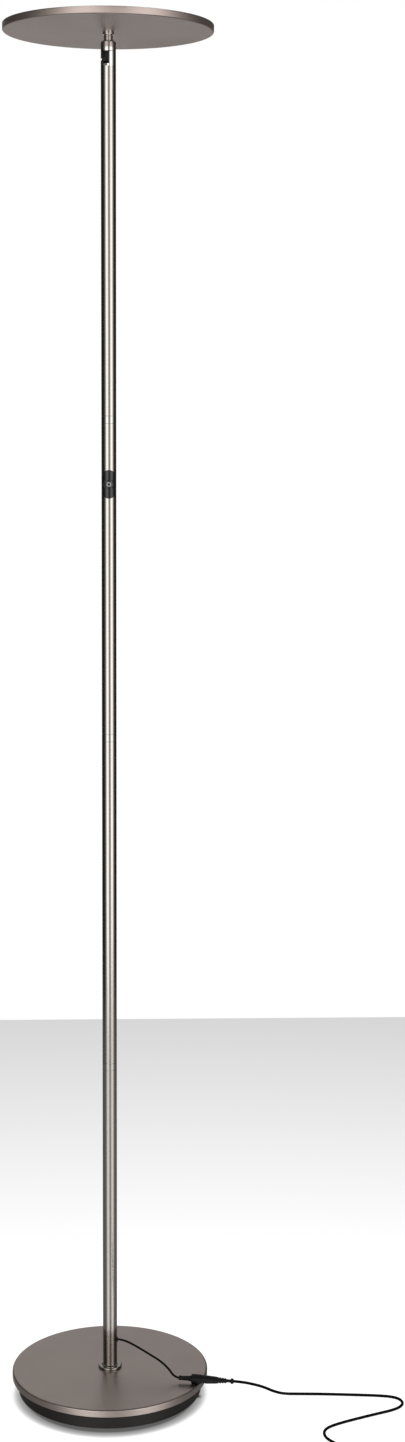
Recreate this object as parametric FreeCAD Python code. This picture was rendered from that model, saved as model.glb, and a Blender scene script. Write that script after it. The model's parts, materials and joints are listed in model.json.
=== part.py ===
# Torchiere floor lamp with a thin tilting disc head, in millimetres.
#
# +Z is up, the origin is the centre of the underside and the switch faces -Y.
# The slot of the tilt joint faces slightly left of the front: its pieces are built in a
# frame of their own (+X out of the slot, +Y along the hinge pin) and turned into place.
import FreeCAD, Part

import math
import os

from FreeCAD import Placement, Rotation, Vector

X, Y, Z = Vector(1, 0, 0), Vector(0, 1, 0), Vector(0, 0, 1)

# ---- Clearances ----
SLIP = 0.05            # radial, between pieces that slide into each other when assembled
RUNNING = 0.05         # radial, at the hinge pin
SIDE = 0.1             # axial or all round, beside pieces that move

# ---- Base ----
base_radius = 118.0
felt_thickness = 1.5
felt_margin = 5.0
tray_inset = 7.6       # from the cover's edge in to the tray's wall
tray_wall = 2.4
tray_floor = 2.5
weight_thickness = 16.0
weight_play = 0.5
weight_hub_radius = 22.0
cover_height = 28.0    # top of the metal cover above the floor
cover_sheet = 1.0
cover_rim = 8.8        # depth of the turned-down rim
cover_edge = 2.4       # rounding between the top and the rim
nut_pocket_radius = 14.0
nut_pocket_depth = 9.0
foot_ring_radius = 14.1
foot_ring_height = 2.9
foot_ring_edge = 1.2
foot_seat = 1.2        # thickness of the ring's floor under the pole

# ---- Threaded joints ----
nipple_radius = 5.0
cable_bore = 3.2
foot_thread = 15.0
base_nut_across = 14.0
base_nut_height = 6.0
base_washer_radius = 11.0
base_washer = 1.5

# ---- Pole ----
pole_radius = 8.5
pole_wall = 1.0
tube_lengths = (372.1, 386.2, 357.3, 384.6)
ring_height = 8.5
ring_edge = 0.35
socket_length = 20.0
stud_length = 12.0
spigot_length = 14.0

# ---- Cord exit ----
exit_rise = 32.8       # above the pole's foot
exit_bore = 1.05
grommet_radius = 2.2
grommet_flange = 3.2
grommet_stand = 0.9    # how far the grommet stands out of the pole
grommet_lip = 0.7      # thickness of its lip inside the pole

# ---- Switch ----
switch_tube = 2        # the pole section that holds it, counted from the floor at 0
switch_drop = 68.7     # below the top of that section
panel_length = 32.3
panel_half_width = 7.9
panel_proud = 0.12
panel_wall = 1.5
button_radius = 4.8
button_proud = 0.25
button_travel = 0.6
button_flange = 0.8
button_boss = 6.2
boss_depth = 4.2       # distance of the boss's inner end from the pole's axis
stem_radius = 1.6
stem_reach = 0.4       # how far the stem sits in the switch block at rest
block_size = 6.0
block_height = 2.5
board_front = 0.4      # front face of the board, behind the pole's axis
board_thickness = 1.0
board_ledge = 0.23     # how far each side of the board lies on the holder
board_length = 28.0
carrier_wall = 2.0
carrier_length = 34.0

# ---- Tilt joint ----
slot_azimuth = -106.6  # direction of the slot's mouth, from +X
fork_height = 16.5
fork_spigot = 14.0
slot_width = 6.3
slot_floor = 0.4       # height of the slot's floor above the fork's shoulder
pin_radius = 1.25
pin_forward = 4.0      # from the pole's axis towards the mouth
pin_drop = 9.0         # below the top of the fork
pin_half_length = 5.5
screw_head_radius = 2.2
screw_head_height = 1.0
screw_prong = 4.7      # distance of the screw head's seat from the middle
washer_radius = 3.0
washer_thickness = 0.6
lug_radius = 3.0
lug_stud_radius = 1.8
lug_stud_length = 5.0
joint_seat = 0.1       # gap between fork and knuckle
fork_channel_back = 3.0
fork_channel_radius = 1.6

# ---- Knuckle and neck ----
knuckle_height = 11.4
knuckle_chamfer = 1.7
knuckle_pocket_radius = 3.3
knuckle_pocket_back = 1.9
neck_radius = 5.0
neck_length = 6.5
neck_spigot_radius = 4.0
neck_spigot_length = 5.0
neck_bore = 2.6
flange_radius = 6.3
flange_thickness = 2.8

# ---- Head ----
head_radius = 117.5
head_thickness = 7.8
pan_sheet = 1.0
pan_edge = 1.6
bezel_lip = 1.2
bezel_width = 6.0
bezel_skirt = 3.0
bezel_wall = 1.1
diffuser_thickness = 2.0
spreader_play = 1.5    # between the heat spreader and the reflector
spreader_thickness = 1.2
led_board_margin = 3.0 # from the heat spreader's edge in to the board's
led_board_thickness = 0.8
hub_hole_radius = 10.0
reflector_inset = 7.5  # from the pan's edge in to the reflector
reflector_wall = 1.5
led_size = (3.0, 2.8, 0.7)
led_counts = (8, 16, 24)   # in rings from the middle out
led_inner_ring = 30.0
led_margin = 18.0      # from the board's edge in to the outer ring
neck_washer_radius = 8.0
neck_washer = 0.5
neck_nut_across = 12.0
neck_nut_height = 1.2
board_stud_radius = 1.5
board_studs = 4
board_nut_across = 5.5
board_nut_height = 1.2

# ---- Cables inside ----
harness_radius = 1.0
head_cable_radius = 0.7
harness_bend = 5.2
cable_back = 0.9       # the cable runs a little behind the pole's axis

# ---- In-line connector, resting on the base ----
connector_start = (82.0, -46.9)
connector_azimuth = -10.2
jack_radius = 5.5
jack_relief_length = 15.0
jack_relief_radii = (2.7, 3.3)
jack_length = 12.0
barrel_radius = 2.75
barrel_bore = 1.05
barrel_length = 9.5
plug_radii = (4.9, 4.1)
plug_length = 19.0
plug_relief_length = 20.0
plug_relief_radii = (3.8, 2.2)
bead_radius = 3.3

# ---- Cords ----
lead_radius = 1.25
cord_radius = 1.7
cord_floor = 1.8       # height of the cord's centre line on the floor
bend_share = 0.45

lead_route = (
    (17.5, -1.4, 61.4),
    (31.0, -9.4, 57.4),
    (46.0, -21.0, 52.8),
    (60.5, -31.4, 47.8),
    (70.5, -38.8, 41.0),
    (76.2, -45.3, 34.3),
)
cord_route = (
    (158.0, -59.6, 32.8),
    (171.0, -55.5, 28.0),
    (184.0, -46.5, 20.0),
    (196.0, -38.0, 10.5),
    (209.0, -30.4, 3.4),
    (226.0, -27.8, cord_floor),
    (256.0, -29.2, cord_floor),
    (290.0, -32.3, cord_floor),
    (318.0, -35.0, cord_floor),
    (337.0, -38.2, cord_floor),
    (347.5, -44.5, cord_floor),
    (350.8, -56.0, cord_floor),
    (345.5, -66.8, cord_floor),
    (334.0, -75.0, cord_floor),
    (318.0, -82.0, cord_floor),
    (294.0, -93.0, cord_floor),
    (267.5, -106.2, cord_floor),
    (252.5, -116.8, cord_floor),
    (247.6, -129.0, cord_floor),
    (249.8, -142.5, cord_floor),
    (257.8, -153.8, cord_floor),
    (267.2, -164.6, cord_floor),
    (278.0, -174.6, cord_floor),
    (282.7, -187.0, 2.3),
)
coil_centre = (262.0, -203.0)
coil_radius = 17.0     # middle of its turns
coil_width = 10.2
coil_bottom = 1.2
coil_height = 12.2    # four layers that nest in each other
coil_edge = 2.5
coil_turns = 10
tail_route = (
    (280.8, -213.0, 11.6),
    (279.2, -219.0, 11.9),
    (275.2, -227.5, 13.0),
    (272.4, -234.0, 14.0),
)
tie_thickness = 0.8
tie_width = 4.0
tie_gap = 0.3

# ---- Wall adapter, lying on its face ----
adapter_centre_x = 272.0
adapter_end_y = -252.0     # the end that the cord enters
adapter_width = 42.0
adapter_length = 65.0
adapter_height = 28.0
adapter_wall = 2.2
adapter_edge = 3.0
adapter_face_edge = 1.0    # rounding of its two large faces
adapter_cover = 7.0        # thickness of the half that carries the prongs
adapter_seam = (0.6, 0.5)  # height and depth of the groove between the halves
adapter_relief_length = 14.0
adapter_relief_radii = (3.8, 2.3)
adapter_board_inset = 4.0
prong_gap = 12.7
prong_width = 6.3
prong_thickness = 1.5
prong_length = 16.0
prong_setback = 17.0       # from the far end of the adapter
prong_tip = 1.6            # rounding of a prong's two tip corners
prong_hole_radius = 1.6
prong_hole_drop = 4.2      # from the tip down to the hole's centre

# ---- Levels and radii that follow ----
tray_bottom = felt_thickness
weight_bottom = tray_bottom + tray_floor
cover_under = cover_height - cover_sheet
tray_radius = base_radius - tray_inset
weight_radius = tray_radius - tray_wall - weight_play
pole_inner = pole_radius - pole_wall
insert_radius = pole_inner - SLIP
thread_radius = nipple_radius - SLIP
pole_bottom = cover_height + foot_seat
tube_bottoms = [pole_bottom]
for tube_length in tube_lengths[:-1]:
    tube_bottoms.append(tube_bottoms[-1] + tube_length + ring_height)
exit_height = pole_bottom + exit_rise
switch_height = tube_bottoms[switch_tube] + tube_lengths[switch_tube] - switch_drop
fork_bottom = tube_bottoms[-1] + tube_lengths[-1]
fork_top = fork_bottom + fork_height
pin_height = fork_top - pin_drop
knuckle_bottom = fork_top + joint_seat
knuckle_top = knuckle_bottom + knuckle_height
neck_spigot_bottom = knuckle_top - neck_spigot_length
pan_bottom = knuckle_top + neck_length + flange_thickness
pan_floor = pan_bottom + pan_sheet
head_top = pan_bottom + head_thickness
bezel_bottom = head_top - bezel_lip
diffuser_bottom = bezel_bottom - diffuser_thickness
spreader_top = pan_floor + spreader_thickness
led_board_top = spreader_top + led_board_thickness
nipple_top = pan_floor + neck_washer + neck_nut_height
reflector_radius = head_radius - reflector_inset
spreader_radius = reflector_radius - reflector_wall - spreader_play
led_board_radius = spreader_radius - led_board_margin
led_spacing = (led_board_radius - led_margin - led_inner_ring) / (len(led_counts) - 1)
led_circles = [led_inner_ring + led_spacing * k for k in range(len(led_counts))]
board_stud_circle = (led_circles[-1] + led_circles[-2]) / 2
head_cable_height = diffuser_bottom - head_cable_radius - 0.2
slot_back = pin_forward - lug_radius - 0.4
lug_half_width = slot_width / 2 - washer_thickness - SLIP - SIDE
panel_radius = pole_radius + panel_proud
board_back = board_front + board_thickness
board_half_width = math.sqrt((insert_radius - carrier_wall) ** 2 - board_back ** 2) + board_ledge
board_bottom = switch_height - board_length / 2
board_top = switch_height + board_length / 2
block_front = board_front - block_height
connector_height = cover_height + jack_radius + SLIP
connector_direction = Rotation(Z, connector_azimuth).multVec(X)
connector_point = Vector(*connector_start, connector_height)
adapter_middle = adapter_height / 2


# ---- Helpers ----

def corner_arc(before, at, after, radius):
    """Start, middle and end of the arc of this radius that rounds the corner at `at`."""
    to_before = (before - at).normalize()
    to_after = (after - at).normalize()
    half = to_before.getAngle(to_after) / 2
    reach = radius / math.tan(half)
    centre = at + (to_before + to_after).normalize() * (radius / math.sin(half))
    middle = centre + (at - centre).normalize() * radius
    return at + to_before * reach, middle, at + to_after * reach


def rounded_wire(points, radii, closed):
    """Straight runs through the points, with tangent arcs of the given radii in the corners."""
    count = len(points)
    corners = []
    for index, (point, radius) in enumerate(zip(points, radii)):
        if radius:
            corners.append(corner_arc(points[index - 1], point, points[(index + 1) % count], radius))
        else:
            corners.append((point, None, point))
    edges = []
    for index in range(count if closed else count - 1):
        leaving = corners[index][2]
        arriving, middle, end = corners[(index + 1) % count]
        if leaving.distanceToPoint(arriving) > 1e-6:
            edges.append(Part.LineSegment(leaving, arriving).toShape())
        if middle:
            edges.append(Part.Arc(arriving, middle, end).toShape())
    return Part.Wire(edges)


def lathe(*profile):
    """A solid turned about Z from (radius, height) or (radius, height, corner radius) points."""
    points = [Vector(entry[0], 0, entry[1]) for entry in profile]
    radii = [entry[2] if len(entry) > 2 else 0 for entry in profile]
    return Part.Face(rounded_wire(points, radii, True)).revolve(Vector(), Z, 360)


def rod(radius, bottom, top, x=0.0, y=0.0):
    """An upright cylinder."""
    return Part.makeCylinder(radius, top - bottom, Vector(x, y, bottom))


def ring(outer, inner, bottom, top):
    """An upright tube or washer about the pole's axis."""
    return rod(outer, bottom, top).cut(rod(inner, bottom, top))


def rod_along(axis, radius, start, end):
    """A cylinder along `axis` from the point `start`, as long as `end` is far from it."""
    return Part.makeCylinder(radius, (end - start).Length, start, axis)


def box(low, high):
    """A box from its lowest to its highest corner."""
    size = Vector(*high) - Vector(*low)
    return Part.makeBox(size.x, size.y, size.z, Vector(*low))


def hexagon(across, bottom, top):
    """An upright hexagonal prism."""
    radius = across / math.sqrt(3)
    points = [Vector(radius * math.cos(math.radians(60 * k)), radius * math.sin(math.radians(60 * k)), bottom)
              for k in range(7)]
    return Part.Face(Part.makePolygon(points)).extrude(Vector(0, 0, top - bottom))


def nut(across, bore, bottom, top):
    """A hexagon nut about the pole's axis."""
    return hexagon(across, bottom, top).cut(rod(bore, bottom, top))


def moved(shape, x, y, z=0.0):
    """A copy of a shape, shifted."""
    return shape.translated(Vector(x, y, z))


def turned(shape, degrees):
    """A copy of a shape, turned about the pole's axis."""
    return shape.rotated(Vector(), Z, degrees)


def joint_placed(shape):
    """A piece of the tilt joint, turned from its own frame to where the slot faces."""
    return turned(shape, slot_azimuth)


def connector_placed(shape):
    """A turned piece of the in-line connector, laid from +Z onto the connector's axis."""
    return shape.transformGeometry(Placement(connector_point, Rotation(Z, connector_direction)).toMatrix())


def tube_along(points, radii, radius):
    """A round tube along straight runs and tangent arcs."""
    path = rounded_wire(points, radii, False)
    start = points[0]
    section = Part.Wire(Part.makeCircle(radius, start, points[1] - start))
    return path.makePipeShell([section], True, False), path.Length


def free_cord(name, route, radius):
    """A free cord's tube. Each bend is as large as its two runs allow, and its figures are printed."""
    points = [Vector(*point) for point in route]
    runs = [(after - before).Length for before, after in zip(points, points[1:])]
    radii = [0.0]
    for index in range(1, len(points) - 1):
        turn = (points[index] - points[index - 1]).getAngle(points[index + 1] - points[index])
        radii.append(bend_share * min(runs[index - 1], runs[index]) / math.tan(turn / 2))
    radii.append(0.0)
    tube, length = tube_along(points, radii, radius)
    expected = math.pi * radius ** 2 * length
    print(f"{name}: length {length:.1f}, volume {tube.Volume:.1f} of {expected:.1f}, "
          f"tightest radius {min(radii[1:-1]):.1f}")
    print("   radii", " ".join(f"{value:.0f}" for value in radii[1:-1]))
    print("   runs ", " ".join(f"{value:.0f}" for value in runs))
    return tube


# ---- Base ----

def base_felt():
    """Felt disc that the lamp stands on."""
    return rod(tray_radius - felt_margin, 0, felt_thickness)


def base_tray():
    """Moulded tray that holds the weight. The cover stands on its wall."""
    inner = tray_radius - tray_wall
    shell = lathe((nut_pocket_radius, tray_bottom), (tray_radius, tray_bottom, 1.2), (tray_radius, cover_under),
                  (inner, cover_under), (inner, weight_bottom), (nut_pocket_radius, weight_bottom))
    return shell


def base_weight():
    """Cast weight, with a hub that reaches the cover and a pocket for the nut below."""
    top = weight_bottom + weight_thickness
    pocket = weight_bottom + nut_pocket_depth
    return lathe((nipple_radius, pocket), (nut_pocket_radius, pocket), (nut_pocket_radius, weight_bottom),
                 (weight_radius, weight_bottom), (weight_radius, top, 2.0), (weight_hub_radius, top, 2.0),
                 (weight_hub_radius, cover_under), (nipple_radius, cover_under))


def base_cover():
    """Pressed metal cover with a turned-down rim."""
    bottom = cover_height - cover_rim
    inner = base_radius - cover_sheet
    return lathe((nipple_radius, cover_height), (base_radius, cover_height, cover_edge), (base_radius, bottom),
                 (inner, bottom), (inner, cover_under, cover_edge - cover_sheet), (nipple_radius, cover_under))


def base_washer_piece():
    """Washer above the base nut."""
    top = weight_bottom + nut_pocket_depth
    return ring(base_washer_radius, nipple_radius, top - base_washer, top)


def base_nut():
    """Nut that clamps the pole, the ring, the cover and the weight together."""
    top = weight_bottom + nut_pocket_depth - base_washer
    return nut(base_nut_across, nipple_radius, top - base_nut_height, top)


def base_nipple():
    """Hollow threaded rod from the base nut up into the pole's foot."""
    bottom = weight_bottom + nut_pocket_depth - base_washer - base_nut_height - 1.0
    return ring(thread_radius, cable_bore, bottom, pole_bottom + foot_thread)


def foot_ring():
    """Turned ring on the cover, with a seat for the pole's foot."""
    top = cover_height + foot_ring_height
    socket = pole_radius + SLIP
    return lathe((nipple_radius, cover_height), (foot_ring_radius, cover_height),
                 (foot_ring_radius, top, foot_ring_edge), (socket + 1.4, top, 0.6), (socket, top - 1.0),
                 (socket, pole_bottom), (nipple_radius, pole_bottom))


# ---- Pole ----

def pole_tube(index):
    """One section of the pole, with the cord's hole or the switch's opening where it has one."""
    bottom = tube_bottoms[index]
    top = bottom + tube_lengths[index]
    tube = ring(pole_radius, pole_inner, bottom, top)
    if bottom < exit_height < top:
        tube = tube.cut(rod_along(X, grommet_radius + SLIP, Vector(0, 0, exit_height),
                                  Vector(pole_radius + 1, 0, exit_height)))
    if bottom < switch_height < top:
        tube = tube.cut(stadium(panel_half_width + SIDE, panel_length + 2 * SIDE, 0.0))
    return tube


def foot_socket():
    """Threaded insert in the pole's foot."""
    return ring(insert_radius, nipple_radius, pole_bottom, pole_bottom + socket_length)


def pole_sockets():
    """Threaded inserts in the top ends of the three lower tubes."""
    sockets = []
    for bottom, length in list(zip(tube_bottoms, tube_lengths))[:-1]:
        top = bottom + length
        sockets.append(ring(insert_radius, nipple_radius, top - socket_length, top))
    return Part.makeCompound(sockets)


def joint_ring(index):
    """Polished ring between two tubes: a stud screws into the tube below, a spigot holds the tube above."""
    bottom = tube_bottoms[index] + tube_lengths[index]
    top = bottom + ring_height
    return lathe((cable_bore, bottom - stud_length), (thread_radius, bottom - stud_length), (thread_radius, bottom),
                 (pole_radius - ring_edge, bottom), (pole_radius, bottom + ring_edge),
                 (pole_radius, top - ring_edge), (pole_radius - ring_edge, top),
                 (insert_radius, top), (insert_radius, top + spigot_length), (cable_bore, top + spigot_length))


def cord_grommet():
    """Rubber bush in the pole's wall where the lead comes out."""
    mouth = Vector(pole_radius + grommet_stand, 0, exit_height)
    inside = Vector(pole_inner - grommet_lip, 0, exit_height)
    sleeve = rod_along(X, grommet_radius, inside, mouth)
    flange = rod_along(X, grommet_flange, Vector(0, 0, exit_height), mouth)
    flange = flange.cut(rod(pole_radius, exit_height - 10, exit_height + 10))
    lip = rod_along(X, grommet_flange, inside - X * 0.5, inside + X * grommet_lip)
    lip = lip.common(rod(pole_inner, exit_height - 10, exit_height + 10))
    bush = sleeve.fuse([flange, lip]).removeSplitter()
    return bush.cut(rod_along(X, exit_bore, Vector(0, 0, exit_height), mouth))


# ---- Switch ----

def stadium(half_width, length, back):
    """A block with rounded ends about the switch's centre, from the plane y = back to past the pole's front."""
    front = -pole_radius - 2
    straight = length / 2 - half_width
    block = box((-half_width, front, switch_height - straight), (half_width, back, switch_height + straight))
    ends = [rod_along(Y, half_width, Vector(0, front, switch_height + side * straight),
                      Vector(0, back, switch_height + side * straight)) for side in (-1, 1)]
    return block.fuse(ends).removeSplitter()


def switch_panel():
    """Glossy panel in the pole's wall, with a boss that guides the button."""
    low, high = switch_height - panel_length, switch_height + panel_length
    shell = rod(panel_radius, low, high).cut(rod(panel_radius - panel_wall, low, high))
    boss = rod_along(Y, button_boss, Vector(0, -panel_radius, switch_height), Vector(0, -boss_depth, switch_height))
    body = shell.fuse(boss.common(rod(panel_radius, low, high)))
    body = body.common(stadium(panel_half_width, panel_length, -SIDE)).removeSplitter()
    return body.cut(rod_along(Y, button_radius + SIDE, Vector(0, -2 * panel_radius, switch_height),
                              Vector(0, 0, switch_height)))


def switch_button():
    """Round button with a flange behind the panel and a stem to the switch block."""
    front = panel_radius + button_proud
    cap = rod_along(Y, button_radius, Vector(0, -front - 1, switch_height),
                    Vector(0, -boss_depth + SIDE, switch_height))
    cap = cap.common(rod(front, switch_height - 10, switch_height + 10))
    flange_start = Vector(0, -boss_depth + SIDE, switch_height)
    flange_end = flange_start + Y * button_flange
    flange = rod_along(Y, button_boss - 0.6, flange_start, flange_end)
    stem = rod_along(Y, stem_radius, flange_end, Vector(0, block_front + stem_reach, switch_height))
    return cap.fuse([flange, stem]).removeSplitter()


def switch_block():
    """Push switch on the board. The button's stem works it."""
    half = block_size / 2
    block = box((-half, block_front, switch_height - half), (half, board_front, switch_height + half))
    depth = stem_reach + button_travel + SIDE
    return block.cut(rod_along(Y, stem_radius + SIDE, Vector(0, block_front, switch_height),
                               Vector(0, block_front + depth, switch_height)))


def switch_board():
    """Dimmer board."""
    return box((-board_half_width, board_front, board_bottom), (board_half_width, board_back, board_top))


def switch_carrier():
    """Half-round holder behind the board, with end walls notched for the cables."""
    low, high = switch_height - carrier_length / 2, switch_height + carrier_length / 2
    body = rod(insert_radius, low, high).common(box((-pole_radius, board_back, low), (pole_radius, pole_radius, high)))
    body = body.cut(rod(insert_radius - carrier_wall, low + carrier_wall, high - carrier_wall))
    return body.cut(rod(harness_radius + 0.3, low, high, 0, cable_back))


# ---- Tilt joint ----

def fork():
    """Slotted collar on the top of the pole. The slot is open to the front and above."""
    body = lathe((nipple_radius, fork_bottom - fork_spigot), (insert_radius, fork_bottom - fork_spigot),
                 (insert_radius, fork_bottom), (pole_radius, fork_bottom), (pole_radius, fork_top),
                 (0, fork_top), (0, fork_bottom - 2), (nipple_radius, fork_bottom - 2))
    reach = pole_radius + 1
    slot = box((slot_back, -slot_width / 2, fork_bottom + slot_floor), (reach, slot_width / 2, fork_top + 1))
    relief = box((pin_forward, -reach, pin_height), (reach, reach, fork_top + 1))
    relief = relief.cut(rod_along(Y, pin_drop, Vector(pin_forward, -reach, pin_height),
                                  Vector(pin_forward, reach, pin_height)))
    pin = Vector(pin_forward, 0, pin_height)
    pin_hole = rod_along(Y, pin_radius + SLIP, pin - Y * reach, pin + Y * (pin_half_length + SLIP))
    head_hole = rod_along(Y, screw_head_radius + SIDE, pin - Y * reach, pin - Y * screw_prong)
    channel = rod(fork_channel_radius, fork_bottom - fork_spigot, fork_top, -fork_channel_back)
    return joint_placed(body.cut([slot, relief, pin_hole, head_hole, channel]))


def pivot_screw():
    """Hinge pin with a flat head, sunk in the fork's left prong."""
    pin = Vector(pin_forward, 0, pin_height)
    shank = rod_along(Y, pin_radius, pin - Y * screw_prong, pin + Y * pin_half_length)
    head_start = pin - Y * (screw_prong + screw_head_height)
    head = rod_along(Y, screw_head_radius, head_start, pin - Y * screw_prong)
    driver = box((pin_forward - 1.6, head_start.y, pin_height - 0.3), (pin_forward + 1.6, head_start.y + 0.5,
                                                                      pin_height + 0.3))
    return joint_placed(shank.fuse(head).cut(driver).removeSplitter())


def friction_washers():
    """Washers either side of the lug. They hold the head where it is tilted."""
    washers = []
    for side in (-1, 1):
        outer = Vector(pin_forward, side * (slot_width / 2 - SLIP), pin_height)
        inner = outer - Y * (side * washer_thickness)
        start, end = (outer, inner) if side < 0 else (inner, outer)
        washers.append(rod_along(Y, washer_radius, start, end).cut(rod_along(Y, pin_radius + SLIP, start, end)))
    return joint_placed(Part.makeCompound(washers))


def tilt_lug():
    """Steel lug that turns on the hinge pin and screws up into the knuckle."""
    low = Vector(pin_forward, -lug_half_width, pin_height)
    high = Vector(pin_forward, lug_half_width, pin_height)
    eye = rod_along(Y, lug_radius, low, high)
    bar = box((pin_forward - lug_radius, -lug_half_width, pin_height),
              (pin_forward + lug_radius, lug_half_width, knuckle_bottom))
    stud = rod(lug_stud_radius, knuckle_bottom, knuckle_bottom + lug_stud_length, pin_forward)
    body = eye.fuse([bar, stud]).removeSplitter()
    return joint_placed(body.cut(rod_along(Y, pin_radius + RUNNING, low, high)))


def knuckle():
    """Turned body that seats on the fork. The lug screws in below and the neck above."""
    body = lathe((0, knuckle_bottom), (pole_radius, knuckle_bottom), (pole_radius, knuckle_top - knuckle_chamfer),
                 (pole_radius - knuckle_chamfer, knuckle_top), (0, knuckle_top))
    lug_hole = rod(lug_stud_radius + SLIP, knuckle_bottom, knuckle_bottom + lug_stud_length + 0.4, pin_forward)
    pocket = rod(knuckle_pocket_radius, knuckle_bottom, neck_spigot_bottom, -knuckle_pocket_back)
    neck_hole = rod(neck_spigot_radius + SLIP, neck_spigot_bottom, knuckle_top)
    return joint_placed(body.cut([lug_hole, pocket, neck_hole]))


def neck_stem():
    """Turned neck: spigot in the knuckle, neck, flange under the pan and threaded nipple through it."""
    flange_bottom = pan_bottom - flange_thickness
    return lathe((neck_bore, neck_spigot_bottom), (neck_spigot_radius, neck_spigot_bottom),
                 (neck_spigot_radius, knuckle_top), (neck_radius - 0.5, knuckle_top),
                 (neck_radius, knuckle_top + 0.5), (neck_radius, flange_bottom - 0.8),
                 (neck_radius - 0.5, flange_bottom), (flange_radius, flange_bottom, 0.5),
                 (flange_radius, pan_bottom), (neck_spigot_radius, pan_bottom),
                 (neck_spigot_radius, nipple_top), (neck_bore, nipple_top))


def neck_washer_piece():
    """Washer between the pan and the neck's nut."""
    return ring(neck_washer_radius, neck_spigot_radius + SLIP, pan_floor, pan_floor + neck_washer)


def neck_nut():
    """Thin nut on the neck's nipple."""
    return nut(neck_nut_across, neck_spigot_radius + SLIP, pan_floor + neck_washer, nipple_top)


# ---- Head ----

def stud_places():
    """The places of the pan's welded studs."""
    return [Rotation(Z, 360 / board_studs * (k + 0.5)).multVec(X * board_stud_circle) for k in range(board_studs)]


def head_pan():
    """Spun metal pan with welded studs for the light unit."""
    inner = head_radius - pan_sheet
    pan = lathe((neck_spigot_radius + SLIP, pan_bottom), (head_radius, pan_bottom, pan_edge),
                (head_radius, bezel_bottom), (inner, bezel_bottom), (inner, pan_floor, pan_edge - pan_sheet),
                (neck_spigot_radius + SLIP, pan_floor))
    stud_top = led_board_top + board_nut_height
    studs = [rod(board_stud_radius, pan_floor, stud_top, place.x, place.y) for place in stud_places()]
    return pan.fuse(studs).removeSplitter()


def drilled_disc(radius, bottom, top):
    """A disc with a middle hole for the neck's nut and holes for the pan's studs."""
    holes = [rod(hub_hole_radius, bottom, top)]
    holes += [rod(board_stud_radius + SIDE, bottom, top, place.x, place.y) for place in stud_places()]
    return rod(radius, bottom, top).cut(holes)


def leds():
    """Light-emitting diodes in rings on the board."""
    length, width, height = led_size
    chips = []
    for radius, count in zip(led_circles, led_counts):
        chip = box((radius - length / 2, -width / 2, led_board_top), (radius + length / 2, width / 2,
                                                                     led_board_top + height))
        chips += [turned(chip, 360 / count * k) for k in range(count)]
    return Part.makeCompound(chips)


def board_nuts():
    """Nuts on the pan's studs."""
    piece = nut(board_nut_across, board_stud_radius + SLIP, led_board_top, led_board_top + board_nut_height)
    return Part.makeCompound([moved(piece, place.x, place.y) for place in stud_places()])


def bezel():
    """Trim ring on the pan's edge, with a lip over the diffuser and a skirt inside the pan."""
    skirt = head_radius - pan_sheet - SIDE
    skirt_bottom = bezel_bottom - bezel_skirt
    return lathe((head_radius - bezel_width, bezel_bottom), (head_radius - bezel_width, head_top, 0.3),
                 (head_radius, head_top, 0.5), (head_radius, bezel_bottom), (skirt, bezel_bottom),
                 (skirt, skirt_bottom), (skirt - bezel_wall, skirt_bottom), (skirt - bezel_wall, bezel_bottom))


def diffuser():
    """Opal disc under the bezel's lip."""
    return rod(head_radius - pan_sheet - bezel_wall - 3 * SIDE, diffuser_bottom, bezel_bottom)


# ---- Cables inside ----

def cable(points, bends, radius):
    """An inner cable with a given radius at each of its bends."""
    return tube_along([Vector(*point) for point in points], [0.0, *bends, 0.0], radius)[0]


def pole_harness():
    """Cable inside the pole, from the grommet's mouth up to the switch board."""
    mouth = (pole_radius + grommet_stand, 0, exit_height)
    turn = (0.0, 0.0, exit_height)
    above = (0.0, 0.0, exit_height + 3 * harness_bend)
    beside = (0.0, cable_back, exit_height + 6 * harness_bend)
    return cable([mouth, turn, above, beside, (0.0, cable_back, board_bottom)], [harness_bend, 30.0, 30.0],
                 harness_radius)


def top_harness():
    """Cable inside the pole, from the switch board up to the fork's channel."""
    channel = Rotation(Z, slot_azimuth).multVec(X * -fork_channel_back)
    return cable([(0.0, cable_back, board_top), (0.0, cable_back, fork_bottom - 3 * fork_spigot),
                  (channel.x, channel.y, fork_bottom - fork_spigot - 4), (channel.x, channel.y, fork_top)],
                 [30.0, 30.0], harness_radius)


def head_harness():
    """Cable from the knuckle's pocket through the neck to the light-emitting diodes."""
    bend = 2.0
    start = (-fork_channel_back, 0.0, knuckle_bottom)
    points = [start, (-fork_channel_back, 0.0, knuckle_bottom + 1.6), (0.0, 0.0, neck_spigot_bottom),
              (0.0, 0.0, head_cable_height), (18.0, 0.0, head_cable_height)]
    return joint_placed(cable(points, [1.5, 3.0, bend], head_cable_radius))


# ---- In-line connector ----

def jack_relief():
    """Tapered relief where the lead enters the jack."""
    narrow, wide = jack_relief_radii
    step = jack_relief_length / 6
    profile = [(0, 0), (narrow, 0, 0.5)]
    for k in range(1, 5):
        radius = narrow + (wide - narrow) * k / 5
        profile += [(radius, step * k), (radius - 0.4, step * (k + 0.3)), (radius - 0.4, step * (k + 0.6))]
    profile += [(wide, step * 5), (wide, jack_relief_length), (0, jack_relief_length)]
    return connector_placed(lathe(*profile))


def jack_body():
    """Housing of the in-line jack, with the socket for the plug's barrel."""
    start, end = jack_relief_length, jack_relief_length + jack_length
    body = lathe((0, start), (jack_radius, start, 1.5), (jack_radius, end, 0.8), (0, end))
    return connector_placed(body.cut(rod(barrel_radius + SLIP, end - barrel_length - 0.5, end)))


def plug_barrel():
    """Metal barrel of the plug, seated in the jack."""
    end = jack_relief_length + jack_length
    return connector_placed(ring(barrel_radius, barrel_bore, end - barrel_length, end))


def plug_body():
    """Moulded plug body with a grip groove, tapering towards its relief."""
    start = jack_relief_length + jack_length
    end = start + plug_length
    wide, narrow = plug_radii
    body = lathe((0, start), (wide, start, 0.5), (wide, start + 3), (wide - 0.4, start + 3.5),
                 (wide - 0.4, start + 5), (wide, start + 5.5), (narrow, end, 0.6), (0, end))
    return connector_placed(body)


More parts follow.
